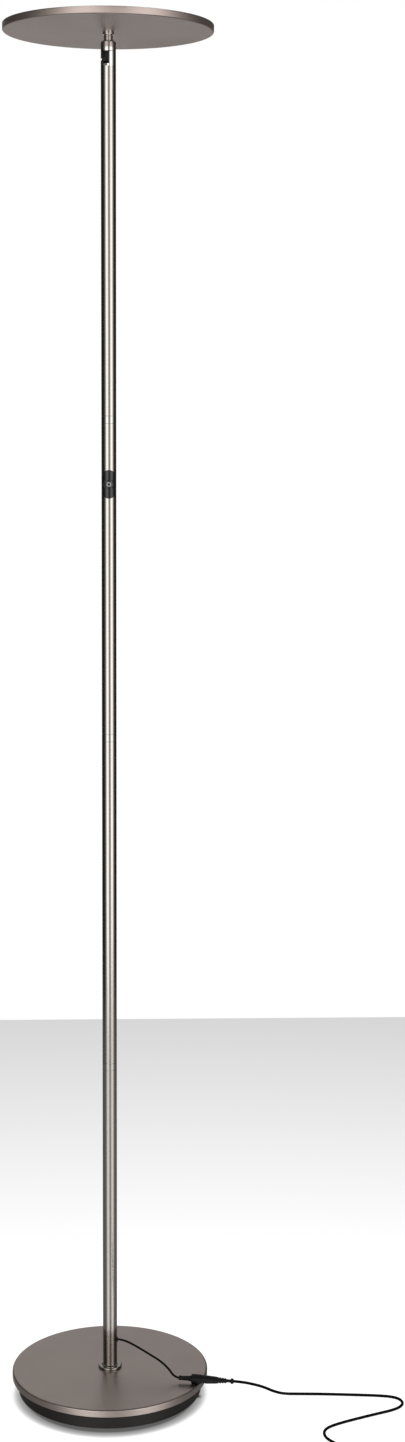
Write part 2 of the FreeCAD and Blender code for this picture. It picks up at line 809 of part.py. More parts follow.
def plug_relief():
    """Ringed relief behind the plug, with a narrow neck and a bead at its end."""
    start = jack_relief_length + jack_length + plug_length
    wide, narrow = plug_relief_radii
    rings, step = 4, 3.0
    profile = [(0, start)]
    for k in range(rings):
        radius = wide + (narrow + 0.8 - wide) * k / (rings - 1)
        profile += [(radius, start + step * k), (radius, start + step * (k + 0.6)),
                    (radius - 0.9, start + step * (k + 0.7)), (radius - 0.9, start + step * (k + 0.95))]
    neck = start + step * rings + 0.4
    end = start + plug_relief_length
    profile += [(narrow - 0.3, neck), (narrow - 0.3, end - 4.0), (bead_radius, end - 3.2, 0.6),
                (bead_radius, end - 1.0, 0.6), (narrow, end), (0, end)]
    return connector_placed(lathe(*profile))


# ---- Free cords, coil and adapter ----

def lamp_lead():
    """Lead from the pole's grommet to the in-line jack."""
    mouth = (pole_radius + grommet_stand, 0, exit_height)
    return free_cord("lamp_lead", (mouth, *lead_route, tuple(connector_point)), lead_radius)


def cord_start():
    """The point where the adapter's cord leaves the plug's relief."""
    reach = jack_relief_length + jack_length + plug_length + plug_relief_length
    return tuple(connector_point + connector_direction * reach)


def adapter_cord():
    """The adapter's cord, from the plug down to the floor and along it to the coil."""
    end = (coil_centre[0] + coil_radius + coil_width / 2 - cord_radius, coil_centre[1] + 4.0,
           coil_bottom + cord_radius)
    return free_cord("adapter_cord", (cord_start(), *cord_route, end), cord_radius)


def cord_coil():
    """Outer shape of the coil that the rest of the cord is wound into."""
    inner, outer = coil_radius - coil_width / 2, coil_radius + coil_width / 2
    top = coil_bottom + coil_height
    print(f"cord_coil: {coil_turns} turns, length {coil_turns * 2 * math.pi * coil_radius:.0f}")
    coil = lathe((inner, coil_bottom, coil_edge), (outer, coil_bottom, coil_edge), (outer, top, coil_edge),
                 (inner, top, coil_edge))
    return moved(coil, *coil_centre)


def adapter_tail():
    """Short stretch of cord between the coil and the adapter."""
    end = (adapter_centre_x, adapter_end_y + adapter_relief_length, adapter_middle)
    return free_cord("adapter_tail", (*tail_route, end), cord_radius)


def cable_tie():
    """Tie round the coil's section, on its left side."""
    inner_x = coil_width / 2 + tie_gap
    low, high = coil_bottom - tie_gap, coil_bottom + coil_height + tie_gap
    outer = box((-inner_x - tie_thickness, -tie_width / 2, low - tie_thickness),
                (inner_x + tie_thickness, tie_width / 2, high + tie_thickness))
    band = outer.cut(box((-inner_x, -tie_width / 2, low), (inner_x, tie_width / 2, high)))
    return moved(band, coil_centre[0] - coil_radius, coil_centre[1])


def adapter_block(inset, bottom, top, edge):
    """A block of the adapter's outline, drawn in by `inset`, with rounded upright edges."""
    half = adapter_width / 2 - inset
    low = (adapter_centre_x - half, adapter_end_y - adapter_length + inset, bottom)
    high = (adapter_centre_x + half, adapter_end_y - inset, top)
    block = box(low, high)
    if edge:
        block = block.makeFillet(edge, [e for e in block.Edges if abs(e.tangentAt(0).z) > 0.9])
    return block


def face_rounded(block, level):
    """The block with the edges of its face at this level rounded."""
    rim = [e for e in block.Edges if all(abs(v.Z - level) < 1e-6 for v in e.Vertexes)]
    return block.makeFillet(adapter_face_edge, rim)


def adapter_shell():
    """Lower half of the adapter's case, open towards the cover."""
    split = adapter_height - adapter_cover
    height, depth = adapter_seam
    shell = face_rounded(adapter_block(0, 0, split - height, adapter_edge), 0)
    shell = shell.fuse(adapter_block(depth, split - height, split, adapter_edge - depth))
    return shell.cut(adapter_block(adapter_wall, adapter_wall, split, adapter_edge - adapter_wall)).removeSplitter()


def adapter_cover_piece():
    """Upper half of the case, with slots for the prongs."""
    split = adapter_height - adapter_cover
    cover = face_rounded(adapter_block(0, split, adapter_height, adapter_edge), adapter_height)
    cover = cover.cut(adapter_block(adapter_wall, split, adapter_height - adapter_wall, adapter_edge - adapter_wall))
    return cover.cut([prong(side, adapter_height - 2 * adapter_wall, SIDE) for side in (-1, 1)])


def prong(side, bottom, margin):
    """One flat blade of the adapter, or its slot when a margin is given."""
    x = adapter_centre_x + side * prong_gap / 2
    y = adapter_end_y - adapter_length + prong_setback
    low = (x - prong_thickness / 2 - margin, y - prong_width / 2 - margin, bottom)
    high = (x + prong_thickness / 2 + margin, y + prong_width / 2 + margin, adapter_height + prong_length)
    return box(low, high)


def adapter_prongs():
    """The two blades, each on a foot behind the cover."""
    blades = []
    for side in (-1, 1):
        foot_top = adapter_height - adapter_wall - SLIP
        blade = prong(side, foot_top - 4.0, 0.0)
        x = adapter_centre_x + side * prong_gap / 2
        y = adapter_end_y - adapter_length + prong_setback
        tip = adapter_height + prong_length
        corners = [e for e in blade.Edges if abs(e.tangentAt(0).x) > 0.9 and e.Vertexes[0].Z > tip - 1e-6]
        blade = blade.makeFillet(prong_tip, corners)
        hole = Vector(x, y, tip - prong_hole_drop)
        blade = blade.cut(rod_along(X, prong_hole_radius, hole - X * prong_gap / 4, hole + X * prong_gap / 4))
        foot = box((x - 2.5, y - prong_width / 2 - 1, foot_top - 1.2), (x + 2.5, y + prong_width / 2 + 1, foot_top))
        blades.append(blade.fuse(foot).removeSplitter())
    return Part.makeCompound(blades)


def adapter_board():
    """Power board with its transformer, standing on the shell's floor."""
    board = adapter_block(adapter_board_inset, adapter_wall + 2.0, adapter_wall + 3.6, 0)
    x, y = adapter_centre_x, adapter_end_y - adapter_length / 2
    transformer = box((x - 10, y - 9, adapter_wall + 3.6), (x + 10, y + 11, adapter_wall + 15.6))
    feet = [rod(1.5, adapter_wall, adapter_wall + 2.0, x + side * 12, y + end * 22)
            for side in (-1, 1) for end in (-1, 1)]
    return board.fuse([transformer, *feet]).removeSplitter()


def adapter_relief():
    """Tapered relief on the adapter's end."""
    wide, narrow = adapter_relief_radii
    step = adapter_relief_length / 7
    profile = [(0, 0), (wide, 0)]
    for k in range(1, 6):
        radius = wide + (narrow - wide) * k / 6
        profile += [(radius, step * k), (radius - 0.5, step * (k + 0.3)), (radius - 0.5, step * (k + 0.6))]
    profile += [(narrow, step * 6), (narrow, adapter_relief_length), (0, adapter_relief_length)]
    relief = lathe(*profile).rotated(Vector(), X, -90)
    return moved(relief, adapter_centre_x, adapter_end_y, adapter_middle)


NODES = {
    "base_felt": base_felt,
    "base_tray": base_tray,
    "base_weight": base_weight,
    "base_cover": base_cover,
    "base_washer": base_washer_piece,
    "base_nut": base_nut,
    "base_nipple": base_nipple,
    "foot_ring": foot_ring,
    "foot_socket": foot_socket,
    "pole_sockets": pole_sockets,
    "cord_grommet": cord_grommet,
    "switch_panel": switch_panel,
    "switch_button": switch_button,
    "switch_block": switch_block,
    "switch_board": switch_board,
    "switch_carrier": switch_carrier,
    "fork": fork,
    "pivot_screw": pivot_screw,
    "friction_washers": friction_washers,
    "tilt_lug": tilt_lug,
    "knuckle": knuckle,
    "neck_stem": neck_stem,
    "neck_washer": neck_washer_piece,
    "neck_nut": neck_nut,
    "head_pan": head_pan,
    "heat_spreader": lambda: drilled_disc(spreader_radius, pan_floor, spreader_top),
    "led_board": lambda: drilled_disc(led_board_radius, spreader_top, led_board_top),
    "leds": leds,
    "board_nuts": board_nuts,
    "reflector": lambda: ring(reflector_radius, reflector_radius - reflector_wall, pan_floor, diffuser_bottom),
    "diffuser": diffuser,
    "bezel": bezel,
    "pole_harness": pole_harness,
    "top_harness": top_harness,
    "head_harness": head_harness,
    "jack_relief": jack_relief,
    "jack_body": jack_body,
    "plug_barrel": plug_barrel,
    "plug_body": plug_body,
    "plug_relief": plug_relief,
    "lamp_lead": lamp_lead,
    "adapter_cord": adapter_cord,
    "cord_coil": cord_coil,
    "adapter_tail": adapter_tail,
    "cable_tie": cable_tie,
    "adapter_shell": adapter_shell,
    "adapter_cover": adapter_cover_piece,
    "adapter_prongs": adapter_prongs,
    "adapter_board": adapter_board,
    "adapter_relief": adapter_relief,
}
for tube_index in range(len(tube_lengths)):
    NODES[f"pole_tube_{tube_index + 1}"] = lambda index=tube_index: pole_tube(index)
for ring_index in range(len(tube_lengths) - 1):
    NODES[f"joint_ring_{ring_index + 1}"] = lambda index=ring_index: joint_ring(index)

os.makedirs("parts", exist_ok=True)
for node, build in NODES.items():
    shape = build()
    if not shape.isValid() or shape.Volume <= 0:
        raise ValueError(f"{node} is not a sound solid")
    shape.exportStep(f"parts/{node}.step")
print(f"{len(NODES)} nodes, {head_top:.2f} mm tall")
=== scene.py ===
"""Looks of a torchiere floor lamp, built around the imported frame, in metres.

The lamp stands on a round weighted base and has a four-section pole with a push switch, a
tilting joint and a thin disc head. Its lead ends in an in-line jack that lies on the base,
and the adapter's cord runs from there over the floor to a coil and a wall adapter.
"""
import sys

import json
import logging
import math
from collections.abc import Sequence
from dataclasses import dataclass
from enum import Enum

import bmesh
import bpy
from bpy.types import Material, Node, NodeSocket, NodeTree, Object
from mathutils import Matrix, Vector

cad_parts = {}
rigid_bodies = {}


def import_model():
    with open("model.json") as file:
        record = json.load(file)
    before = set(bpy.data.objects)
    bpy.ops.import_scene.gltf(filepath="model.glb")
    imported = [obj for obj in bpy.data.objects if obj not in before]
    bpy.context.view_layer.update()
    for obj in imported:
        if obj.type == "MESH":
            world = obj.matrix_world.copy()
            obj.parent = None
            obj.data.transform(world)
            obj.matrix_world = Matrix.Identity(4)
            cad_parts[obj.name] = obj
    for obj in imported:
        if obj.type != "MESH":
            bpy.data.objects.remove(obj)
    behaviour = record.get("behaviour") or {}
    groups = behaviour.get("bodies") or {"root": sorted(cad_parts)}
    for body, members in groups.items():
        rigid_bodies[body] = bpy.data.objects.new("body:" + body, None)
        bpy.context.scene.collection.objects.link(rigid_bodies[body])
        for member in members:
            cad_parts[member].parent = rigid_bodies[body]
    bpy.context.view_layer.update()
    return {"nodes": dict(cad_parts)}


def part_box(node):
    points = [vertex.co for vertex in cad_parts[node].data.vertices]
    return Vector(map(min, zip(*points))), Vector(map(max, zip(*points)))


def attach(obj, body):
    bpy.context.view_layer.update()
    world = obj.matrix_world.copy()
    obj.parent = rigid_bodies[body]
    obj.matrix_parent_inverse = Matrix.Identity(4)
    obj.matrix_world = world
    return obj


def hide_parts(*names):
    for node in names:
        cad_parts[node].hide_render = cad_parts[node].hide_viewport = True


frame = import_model()

log = logging.getLogger("lamp")

BMesh = bmesh.types.BMesh
Point = tuple[float, float, float]
Profile = Sequence[tuple[float, ...]]
Stops = Sequence[tuple[float, float]]
UP = Vector((0.0, 0.0, 1.0))
FRONT = Vector((0.0, -1.0, 0.0))
SIDEWAYS = Vector((0.0, 1.0, 0.0))
FULL_TURN = 2 * math.pi
QUARTER_TURN = math.pi / 2
MERGE = 1e-6
SHARP = math.radians(32)
SLIP = 0.00005
FINE_EDGE = 0.0001
SMALL_EDGE = 0.0002
SOFT_EDGE = 0.0005
OVERSHOOT = 0.001
COAT_ROUGHNESS = 0.05
SUBSURFACE_SCALE = 0.004
NOISE_RANGE = (0.3, 0.7)
NOISE_SHARE = 0.5
BUMP_STRENGTH = 0.5


class Body(str, Enum):
    """The bodies that pieces ride on."""

    STAND = "stand"
    HEAD = "head"
    BUTTON = "button"


class Grain(Enum):
    """How the fine texture of a surface runs."""

    SPECKLED = "even in all directions"
    TURNED = "rings about the lamp's axis"
    LENGTHWISE = "lines up and down"


# ---- Shader nodes ----


def wired(tree: NodeTree, kind: str, *sources: NodeSocket | Sequence[float] | float | None,
          **settings: str) -> Node:
    """Adds a shader node, sets it and feeds its inputs in their order.

    Args:
        tree: The nodes that it joins.
        kind: Its type, without the ShaderNode in front.
        sources: For each input another node's output, a value, or None to leave it.
        settings: Its properties.

    Returns:
        The node.
    """
    node = tree.nodes.new(f"ShaderNode{kind}")
    for name, value in settings.items():
        setattr(node, name, value)
    for socket, source in zip(node.inputs, sources):
        if isinstance(source, NodeSocket):
            tree.links.new(source, socket)
        elif source is not None:
            socket.default_value = source
    return node


def reckoned(tree: NodeTree, operation: str, *sources: NodeSocket | float) -> NodeSocket:
    """The result of a Math node on its sources."""
    return wired(tree, "Math", *sources, operation=operation).outputs[0]


def mixed(tree: NodeTree, factor: NodeSocket, first: NodeSocket | Sequence[float],
          second: NodeSocket | Sequence[float]) -> NodeSocket:
    """The mix of two colours, which is the second where the factor is 1."""
    between = [None] * 5
    return wired(tree, "Mix", factor, *between, first, second, data_type="RGBA").outputs[2]


# ---- Finishes ----


@dataclass(frozen=True)
class Finish:
    """A material: a base colour with a second tone, gloss and a fine grain.

    Lengths are in metres. The grain wavers between the two tones and the two roughnesses.
    """

    name: str
    slot: str
    colour: Point
    tone: Point
    roughness: tuple[float, float]
    metallic: float = 0.0
    grain: Grain = Grain.SPECKLED
    grain_size: float = 0.0006
    relief: float = 0.000006
    patch_size: float = 0.05
    anisotropy: float = 0.0
    coat: float = 0.0
    sheen: float = 0.0
    specular: float = 0.5
    subsurface: float = 0.0

    def material(self) -> Material:
        """Builds the material once and finds it again after that.

        Returns:
            The Blender material of this finish.
        """
        name = f"{self.name}_finish"
        known = bpy.data.materials.get(name)
        if known:
            return known
        material = bpy.data.materials.new(name)
        material.use_nodes = True
        tree = material.node_tree
        shader = tree.nodes["Principled BSDF"]
        steady = {"Metallic": self.metallic, "Anisotropic": self.anisotropy,
                  "Coat Weight": self.coat, "Coat Roughness": COAT_ROUGHNESS,
                  "Sheen Weight": self.sheen, "Specular IOR Level": self.specular,
                  "Subsurface Weight": self.subsurface, "Subsurface Scale": SUBSURFACE_SCALE}
        for socket, value in steady.items():
            shader.inputs[socket].default_value = value
        place = wired(tree, "TexCoord").outputs["Object"]
        grain = self._noise(tree, self._grain_place(tree, place), 1.0, 3.0)
        patches = self._noise(tree, place, 1.0 / self.patch_size, 2.0)
        halved = reckoned(tree, "MULTIPLY", patches, NOISE_SHARE)
        wave = reckoned(tree, "MULTIPLY_ADD", grain, NOISE_SHARE, halved)
        tones = mixed(tree, wave, (*self.colour, 1.0), (*self.tone, 1.0))
        tree.links.new(tones, shader.inputs["Base Color"])
        gloss = wired(tree, "MapRange", wave, *NOISE_RANGE, *self.roughness)
        tree.links.new(gloss.outputs[0], shader.inputs["Roughness"])
        bump = wired(tree, "Bump")
        bump.inputs["Strength"].default_value = BUMP_STRENGTH
        bump.inputs["Distance"].default_value = self.relief
        tree.links.new(grain, bump.inputs["Height"])
        tree.links.new(bump.outputs[0], shader.inputs["Normal"])
        if self.anisotropy:
            tree.links.new(self._brushing(tree, place), shader.inputs["Tangent"])
        return material

    def _noise(self, tree: NodeTree, place: NodeSocket, scale: float, detail: float) -> NodeSocket:
        """The factor of a noise that reads a place, at a scale and with a number of octaves."""
        return wired(tree, "TexNoise", place, None, scale, detail).outputs["Fac"]

    def _grain_place(self, tree: NodeTree, place: NodeSocket) -> NodeSocket:
        """Stretches the coordinates so that a noise over them makes this finish's grain.

        Args:
            tree: The material's nodes.
            place: Object coordinates.

        Returns:
            Coordinates in grain sizes.
        """
        fine = 1.0 / self.grain_size
        if self.grain is not Grain.TURNED:
            along = 0.02 if self.grain is Grain.LENGTHWISE else 1.0
            return wired(tree, "Mapping", place, None, None, (fine, fine, fine * along)).outputs[0]
        side, depth, height = wired(tree, "SeparateXYZ", place).outputs
        level = wired(tree, "CombineXYZ", side, depth).outputs[0]
        radius = wired(tree, "VectorMath", level, operation="LENGTH").outputs["Value"]
        outward = wired(tree, "VectorMath", level, operation="NORMALIZE").outputs[0]
        facing = wired(tree, "SeparateXYZ", outward).outputs
        across = reckoned(tree, "ADD", radius, height)
        ringed = wired(tree, "CombineXYZ", across, facing[0], facing[1]).outputs[0]
        return wired(tree, "Mapping", ringed, None, None, (fine, 2.0, 2.0)).outputs[0]

    def _brushing(self, tree: NodeTree, place: NodeSocket) -> NodeSocket:
        """The direction round the lamp's axis, the way the metal was brushed."""
        around = wired(tree, "VectorMath", UP, place, operation="CROSS_PRODUCT").outputs[0]
        return wired(tree, "VectorTransform", around, vector_type="VECTOR", convert_from="OBJECT",
                     convert_to="WORLD").outputs[0]


SPUN_NICKEL = Finish("spun_nickel", "satin_nickel", (0.385, 0.325, 0.298), (0.348, 0.294, 0.27),
                     (0.3, 0.38), metallic=1.0, grain=Grain.TURNED, grain_size=0.0004,
                     relief=0.0000004, anisotropy=0.25)
TUBE_NICKEL = Finish("tube_nickel", "satin_nickel", (0.39, 0.366, 0.337), (0.36, 0.338, 0.31),
                     (0.14, 0.17), metallic=1.0, grain=Grain.TURNED, grain_size=0.0005,
                     relief=0.00000005)
POLISHED_NICKEL = Finish("polished_nickel", "polished_nickel", (0.40, 0.385, 0.36),
                         (0.37, 0.355, 0.33), (0.05, 0.08), metallic=1.0, grain=Grain.TURNED,
                         grain_size=0.0003, relief=0.0000002)
# Near-black partly as painted shade: on the hinge lug it darkens the tilt joint's slot.
BLACK_STEEL_SLOT_SHADE = Finish("black_steel", "black_steel", (0.004, 0.004, 0.004), (0.007, 0.007, 0.007),
                     (0.4, 0.55), metallic=0.3, relief=0.00001, specular=0.12)
DARK_ZINC = Finish("dark_zinc", "zinc_steel", (0.02, 0.02, 0.021), (0.03, 0.03, 0.031), (0.4, 0.5),
                   metallic=0.6, grain_size=0.0015, relief=0.000006, specular=0.15)
ZINC_STEEL = Finish("zinc_steel", "zinc_steel", (0.55, 0.56, 0.58), (0.46, 0.48, 0.5), (0.25, 0.4),
                    metallic=1.0, grain_size=0.0015, relief=0.00001, patch_size=0.008)
CAST_IRON = Finish("cast_iron", "cast_iron", (0.045, 0.046, 0.048), (0.07, 0.068, 0.066),
                   (0.6, 0.8), metallic=0.4, grain_size=0.0012, relief=0.0001)
BLACK_MOULDING = Finish("black_moulding", "black_moulding", (0.0075, 0.0066, 0.006),
                        (0.011, 0.0096, 0.0088), (0.42, 0.55), grain_size=0.0008, relief=0.000006,
                        specular=0.2)
FELT = Finish("felt", "felt", (0.014, 0.014, 0.015), (0.035, 0.034, 0.034), (0.9, 1.0),
              grain_size=0.0007, relief=0.0002, sheen=0.4)
BLACK_GLOSS = Finish("black_gloss", "black_gloss", (0.003, 0.003, 0.0035), (0.005, 0.005, 0.005),
                     (0.12, 0.18), coat=0.2, grain_size=0.0008, relief=0.000001, specular=0.3)
CIRCUIT_BOARD = Finish("circuit_board", "circuit_board", (0.01, 0.07, 0.025), (0.02, 0.13, 0.05),
                       (0.3, 0.45), grain_size=0.002)
WHITE_BOARD = Finish("white_board", "white_board", (0.78, 0.78, 0.76), (0.7, 0.7, 0.68),
                     (0.35, 0.5), grain_size=0.002)
LED_PHOSPHOR = Finish("led_phosphor", "led_phosphor", (0.85, 0.66, 0.16), (0.8, 0.58, 0.12),
                      (0.3, 0.45), grain_size=0.0004, relief=0.000008)
ALUMINIUM = Finish("aluminium", "aluminium", (0.7, 0.7, 0.71), (0.6, 0.6, 0.61), (0.3, 0.45),
                   metallic=1.0)
WHITE_REFLECTOR = Finish("white_reflector", "white_reflector", (0.86, 0.86, 0.85), (0.8, 0.8, 0.79),
                         (0.4, 0.55))
OPAL_ACRYLIC = Finish("opal_acrylic", "opal_acrylic", (0.84, 0.84, 0.82), (0.8, 0.8, 0.78),
                      (0.22, 0.32), subsurface=0.3, relief=0.000002)
ACETAL = Finish("acetal", "acetal", (0.012, 0.012, 0.012), (0.02, 0.02, 0.02), (0.35, 0.5),
                specular=0.15)
SOFT_BLACK = Finish("soft_black", "soft_black", (0.003, 0.003, 0.003), (0.006, 0.0055, 0.0055),
                    (0.42, 0.55), relief=0.000006, specular=0.15)
CORD_JACKET = Finish("cord_jacket", "cord_jacket", (0.0015, 0.0015, 0.0015), (0.003, 0.003, 0.003),
                     (0.5, 0.62), grain_size=0.0008, relief=0.000006, specular=0.03)
ADAPTER_CASE = Finish("adapter_case", "adapter_case", (0.006, 0.006, 0.0062), (0.010, 0.010, 0.010),
                      (0.42, 0.55), grain_size=0.0006, relief=0.00001, specular=0.15)
PLATED_BRASS = Finish("plated_brass", "plated_brass", (0.66, 0.65, 0.62), (0.56, 0.54, 0.5),
                      (0.15, 0.28), metallic=1.0, grain=Grain.LENGTHWISE, grain_size=0.0004,
                      relief=0.0000004)
MARKING_PAINT = Finish("marking_paint", "black_gloss", (0.17, 0.17, 0.17), (0.14, 0.14, 0.14),
                       (0.45, 0.6), grain_size=0.0004, relief=0.000002)
PAN_NICKEL = Finish("pan_nickel", "satin_nickel", (0.4, 0.33, 0.3), (0.362, 0.3, 0.272),
                    (0.4, 0.46), metallic=1.0, grain=Grain.TURNED, grain_size=0.0005,
                    relief=0.0000004, anisotropy=0.3)
RING_NICKEL = Finish("ring_nickel", "polished_nickel", (0.36, 0.335, 0.305), (0.33, 0.307, 0.28),
                     (0.16, 0.2), metallic=1.0, grain=Grain.TURNED, grain_size=0.0003,
                     relief=0.0000002)
JOINT_NICKEL = Finish("joint_nickel", "polished_nickel", (0.53, 0.513, 0.483), (0.49, 0.475, 0.447),
                      (0.05, 0.08), metallic=1.0, grain=Grain.TURNED, grain_size=0.0003,
                      relief=0.0000001)

HIDDEN_PIECES: dict[Finish, tuple[str, ...]] = {ZINC_STEEL: ("base_nut", "base_washer",
                                                             "base_nipple", "foot_socket",
                                                             "pole_sockets", "neck_nut",
                                                             "neck_washer", "board_nuts"),
                                                CAST_IRON: ("base_weight",), FELT: ("base_felt",),
                                                BLACK_MOULDING: ("switch_block", "switch_carrier"),
                                                CIRCUIT_BOARD: ("switch_board", "adapter_board"),
                                                WHITE_BOARD: ("led_board",),
                                                LED_PHOSPHOR: ("leds",),
                                                ALUMINIUM: ("heat_spreader",),
                                                WHITE_REFLECTOR: ("reflector",),
                                                ACETAL: ("friction_washers",),
                                                CORD_JACKET: ("pole_harness", "top_harness",
                                                              "head_harness"),
                                                PLATED_BRASS: ("plug_barrel", "adapter_prongs"),
                                                ADAPTER_CASE: ("adapter_shell", "adapter_cover"), }


# ---- Shaping ----


def turned(profile: Profile, segments: int = 96, arc_steps: int = 5) -> BMesh:
    """Turns a closed outline about the Z axis.

    Args:
        profile: Corners as (radius, height) or (radius, height, rounding).
        segments: Steps round the axis.
        arc_steps: Steps in each rounded corner.

    Returns:
        The closed turned shape.
    """
    mesh = bmesh.new()
    corners = [mesh.verts.new((corner[0], 0.0, corner[1])) for corner in profile]
    mesh.faces.new(corners)
    for vertex, corner in zip(corners, profile):
        if len(corner) > 2:
            bmesh.ops.bevel(mesh, geom=[vertex], offset=corner[2], offset_type="OFFSET",
                            affect="VERTICES", segments=arc_steps, profile=0.5, material=-1)
    bmesh.ops.delete(mesh, geom=mesh.faces[:], context="FACES_ONLY")
    bmesh.ops.spin(mesh, geom=mesh.verts[:] + mesh.edges[:], cent=(0, 0, 0), axis=UP,
                   angle=FULL_TURN, steps=segments, use_merge=True)
    bmesh.ops.remove_doubles(mesh, verts=mesh.verts[:], dist=MERGE)
    bmesh.ops.recalc_face_normals(mesh, faces=mesh.faces[:])
    return mesh


def grooved(start: float, end: float, length: float, ribs: int,
            groove: float) -> list[tuple[float, ...]]:
    """The grooves of a strain relief, as part of an outline to turn.

    Args:
        start: The radius where it starts.
        end: The radius where it ends.
        length: Its length.
        ribs: How many steps its radius takes.
        groove: The grooves' depth.

    Returns:
        The outline's corners between its two ends.
    """
    step = length / (ribs + 1)
    profile: list[tuple[float, ...]] = []
    for rib in range(1, ribs):
        radius = start + (end - start) * rib / ribs
        profile.append((radius, step * rib, FINE_EDGE))
        profile += [(radius - groove, step * (rib + share), FINE_EDGE) for share in (0.25, 0.6)]
    return profile


def rod(radius: float, start: Vector, end: Vector, segments: int = 48) -> BMesh:
    """A cylinder from one point to another.

    Args:
        radius: Its radius.
        start: The middle of its first end.
        end: The middle of its other end.
        segments: Steps round it.

    Returns:
        The closed cylinder.
    """
    mesh = bmesh.new()
    reach = end - start
    place = Matrix.Translation((start + end) / 2) @ reach.to_track_quat("Z",
                                                                        "Y").to_matrix().to_4x4()
    bmesh.ops.create_cone(mesh, cap_ends=True, segments=segments, radius1=radius, radius2=radius,
                          depth=reach.length, matrix=place)
    return mesh


def block(low: Vector, high: Vector) -> BMesh:
    """A box between two corners.

    Args:
        low: Its lowest corner.
        high: Its highest corner.

    Returns:
        The closed box.
    """
    mesh = bmesh.new()
    size = Matrix.Diagonal((*(high - low), 1.0))
    bmesh.ops.create_cube(mesh, size=1.0, matrix=Matrix.Translation((low + high) / 2) @ size)
    return mesh


def rounded(mesh: BMesh, along: Vector, radius: float, steps: int = 5) -> BMesh:
    """Rounds the sharp edges of a shape that run along a direction.

    Args:
        mesh: The shape.
        along: The direction of the edges.
        radius: The rounding.
        steps: Steps in each rounded edge.

    Returns:
        The same shape.
    """
    edges = [edge for edge in mesh.edges
             if abs((edge.verts[0].co - edge.verts[1].co).normalized().dot(along)) > 0.999
             and edge.calc_face_angle(0.0) > SHARP]
    bmesh.ops.bevel(mesh, geom=edges, offset=radius, offset_type="OFFSET", affect="EDGES",
                    segments=steps, profile=0.5, material=-1)
    return mesh


def placed(mesh: BMesh, place: Matrix) -> BMesh:
    """Moves a shape.

    Args:
        mesh: The shape.
        place: Where it goes.

    Returns:
        The same shape.
    """
    bmesh.ops.transform(mesh, matrix=place, verts=mesh.verts[:])
    return mesh


def joined(*parts: BMesh) -> BMesh:
    """Puts several shapes into one, each still a closed shell.

    Args:
        parts: The shapes, which are used up.

    Returns:
        One shape that holds them all.
    """
    whole = bmesh.new()
    for part in parts:
        carrier = bpy.data.meshes.new("carrier")
        part.to_mesh(carrier)
        part.free()
        whole.from_mesh(carrier)
        bpy.data.meshes.remove(carrier)
    return whole


def _loose(mesh: BMesh) -> Object:
    """Gives a shape an object for a short while.

    Args:
        mesh: The shape, which is used up.

    Returns:
        Its object, in the scene.
    """
    data = bpy.data.meshes.new("loose")
    mesh.to_mesh(data)
    mesh.free()
    holder = bpy.data.objects.new("loose", data)
    bpy.context.scene.collection.objects.link(holder)
    return holder


def _settled(holder: Object) -> bpy.types.Mesh:
    """The mesh of an object with its modifiers worked in.

    Args:
        holder: The object, which is removed.

    Returns:
        The finished mesh.
    """
    graph = bpy.context.evaluated_depsgraph_get()
    result = bpy.data.meshes.new_from_object(holder.evaluated_get(graph), depsgraph=graph)
    old = holder.data
    bpy.data.objects.remove(holder)
    bpy.data.meshes.remove(old)
    return result


def combined(mesh: BMesh, *tools: BMesh, how: str = "DIFFERENCE") -> BMesh:
    """Cuts tools out of a shape, or keeps what they share.

    Args:
        mesh: The shape, which is used up.
        tools: The closed tools, which are used up.
        how: DIFFERENCE, INTERSECT or UNION.

    Returns:
        The cut shape.
    """
    holder = _loose(mesh)
    others = [_loose(tool) for tool in tools]
    for other in others:
        step = holder.modifiers.new("cut", "BOOLEAN")
        step.operation = how
        step.solver = "EXACT"
        step.object = other
    data = _settled(holder)
    for other in others:
        old = other.data
        bpy.data.objects.remove(other)
        bpy.data.meshes.remove(old)
    result = bmesh.new()
    result.from_mesh(data)
    bpy.data.meshes.remove(data)
    bmesh.ops.remove_doubles(result, verts=result.verts[:], dist=MERGE)
    return result


def piece(name: str, mesh: BMesh, finish: Finish, body: Body, *nodes: str) -> Object:
    """Makes a finished piece of the lamp from a shape.

    Args:
        name: The piece's name.
        mesh: Its shape, in place, which is used up.
        finish: Its material.
        body: The body it rides on.
        nodes: The frame's nodes that it stands for.

    Returns:
        The piece's object.
    """
    for face in mesh.faces:
        face.smooth = True
    for edge in mesh.edges:
        edge.smooth = len(edge.link_faces) == 2 and edge.calc_face_angle() < SHARP
    holder = _loose(mesh)
    flatten = holder.modifiers.new("even shading", "WEIGHTED_NORMAL")
    flatten.keep_sharp = True
    data = _settled(holder)
    data.name = name
    data.materials.clear()
    data.materials.append(finish.material())
    item = bpy.data.objects.new(name, data)
    bpy.context.scene.collection.objects.link(item)
    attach(item, body.value)
    if nodes:
        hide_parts(*nodes)
    log.info("%s: %d faces, %s", name, len(data.polygons), finish.slot)
    return item


def dress_hidden_pieces() -> None:
    """Gives each of the frame's own nodes that stays in the model its finish."""
    for finish, names in HIDDEN_PIECES.items():
        for name in names:
            data = frame["nodes"][name].data
            data.materials.clear()
            data.materials.append(finish.material())
            log.info("%s: %s", name, finish.slot)


# ---- Base ----


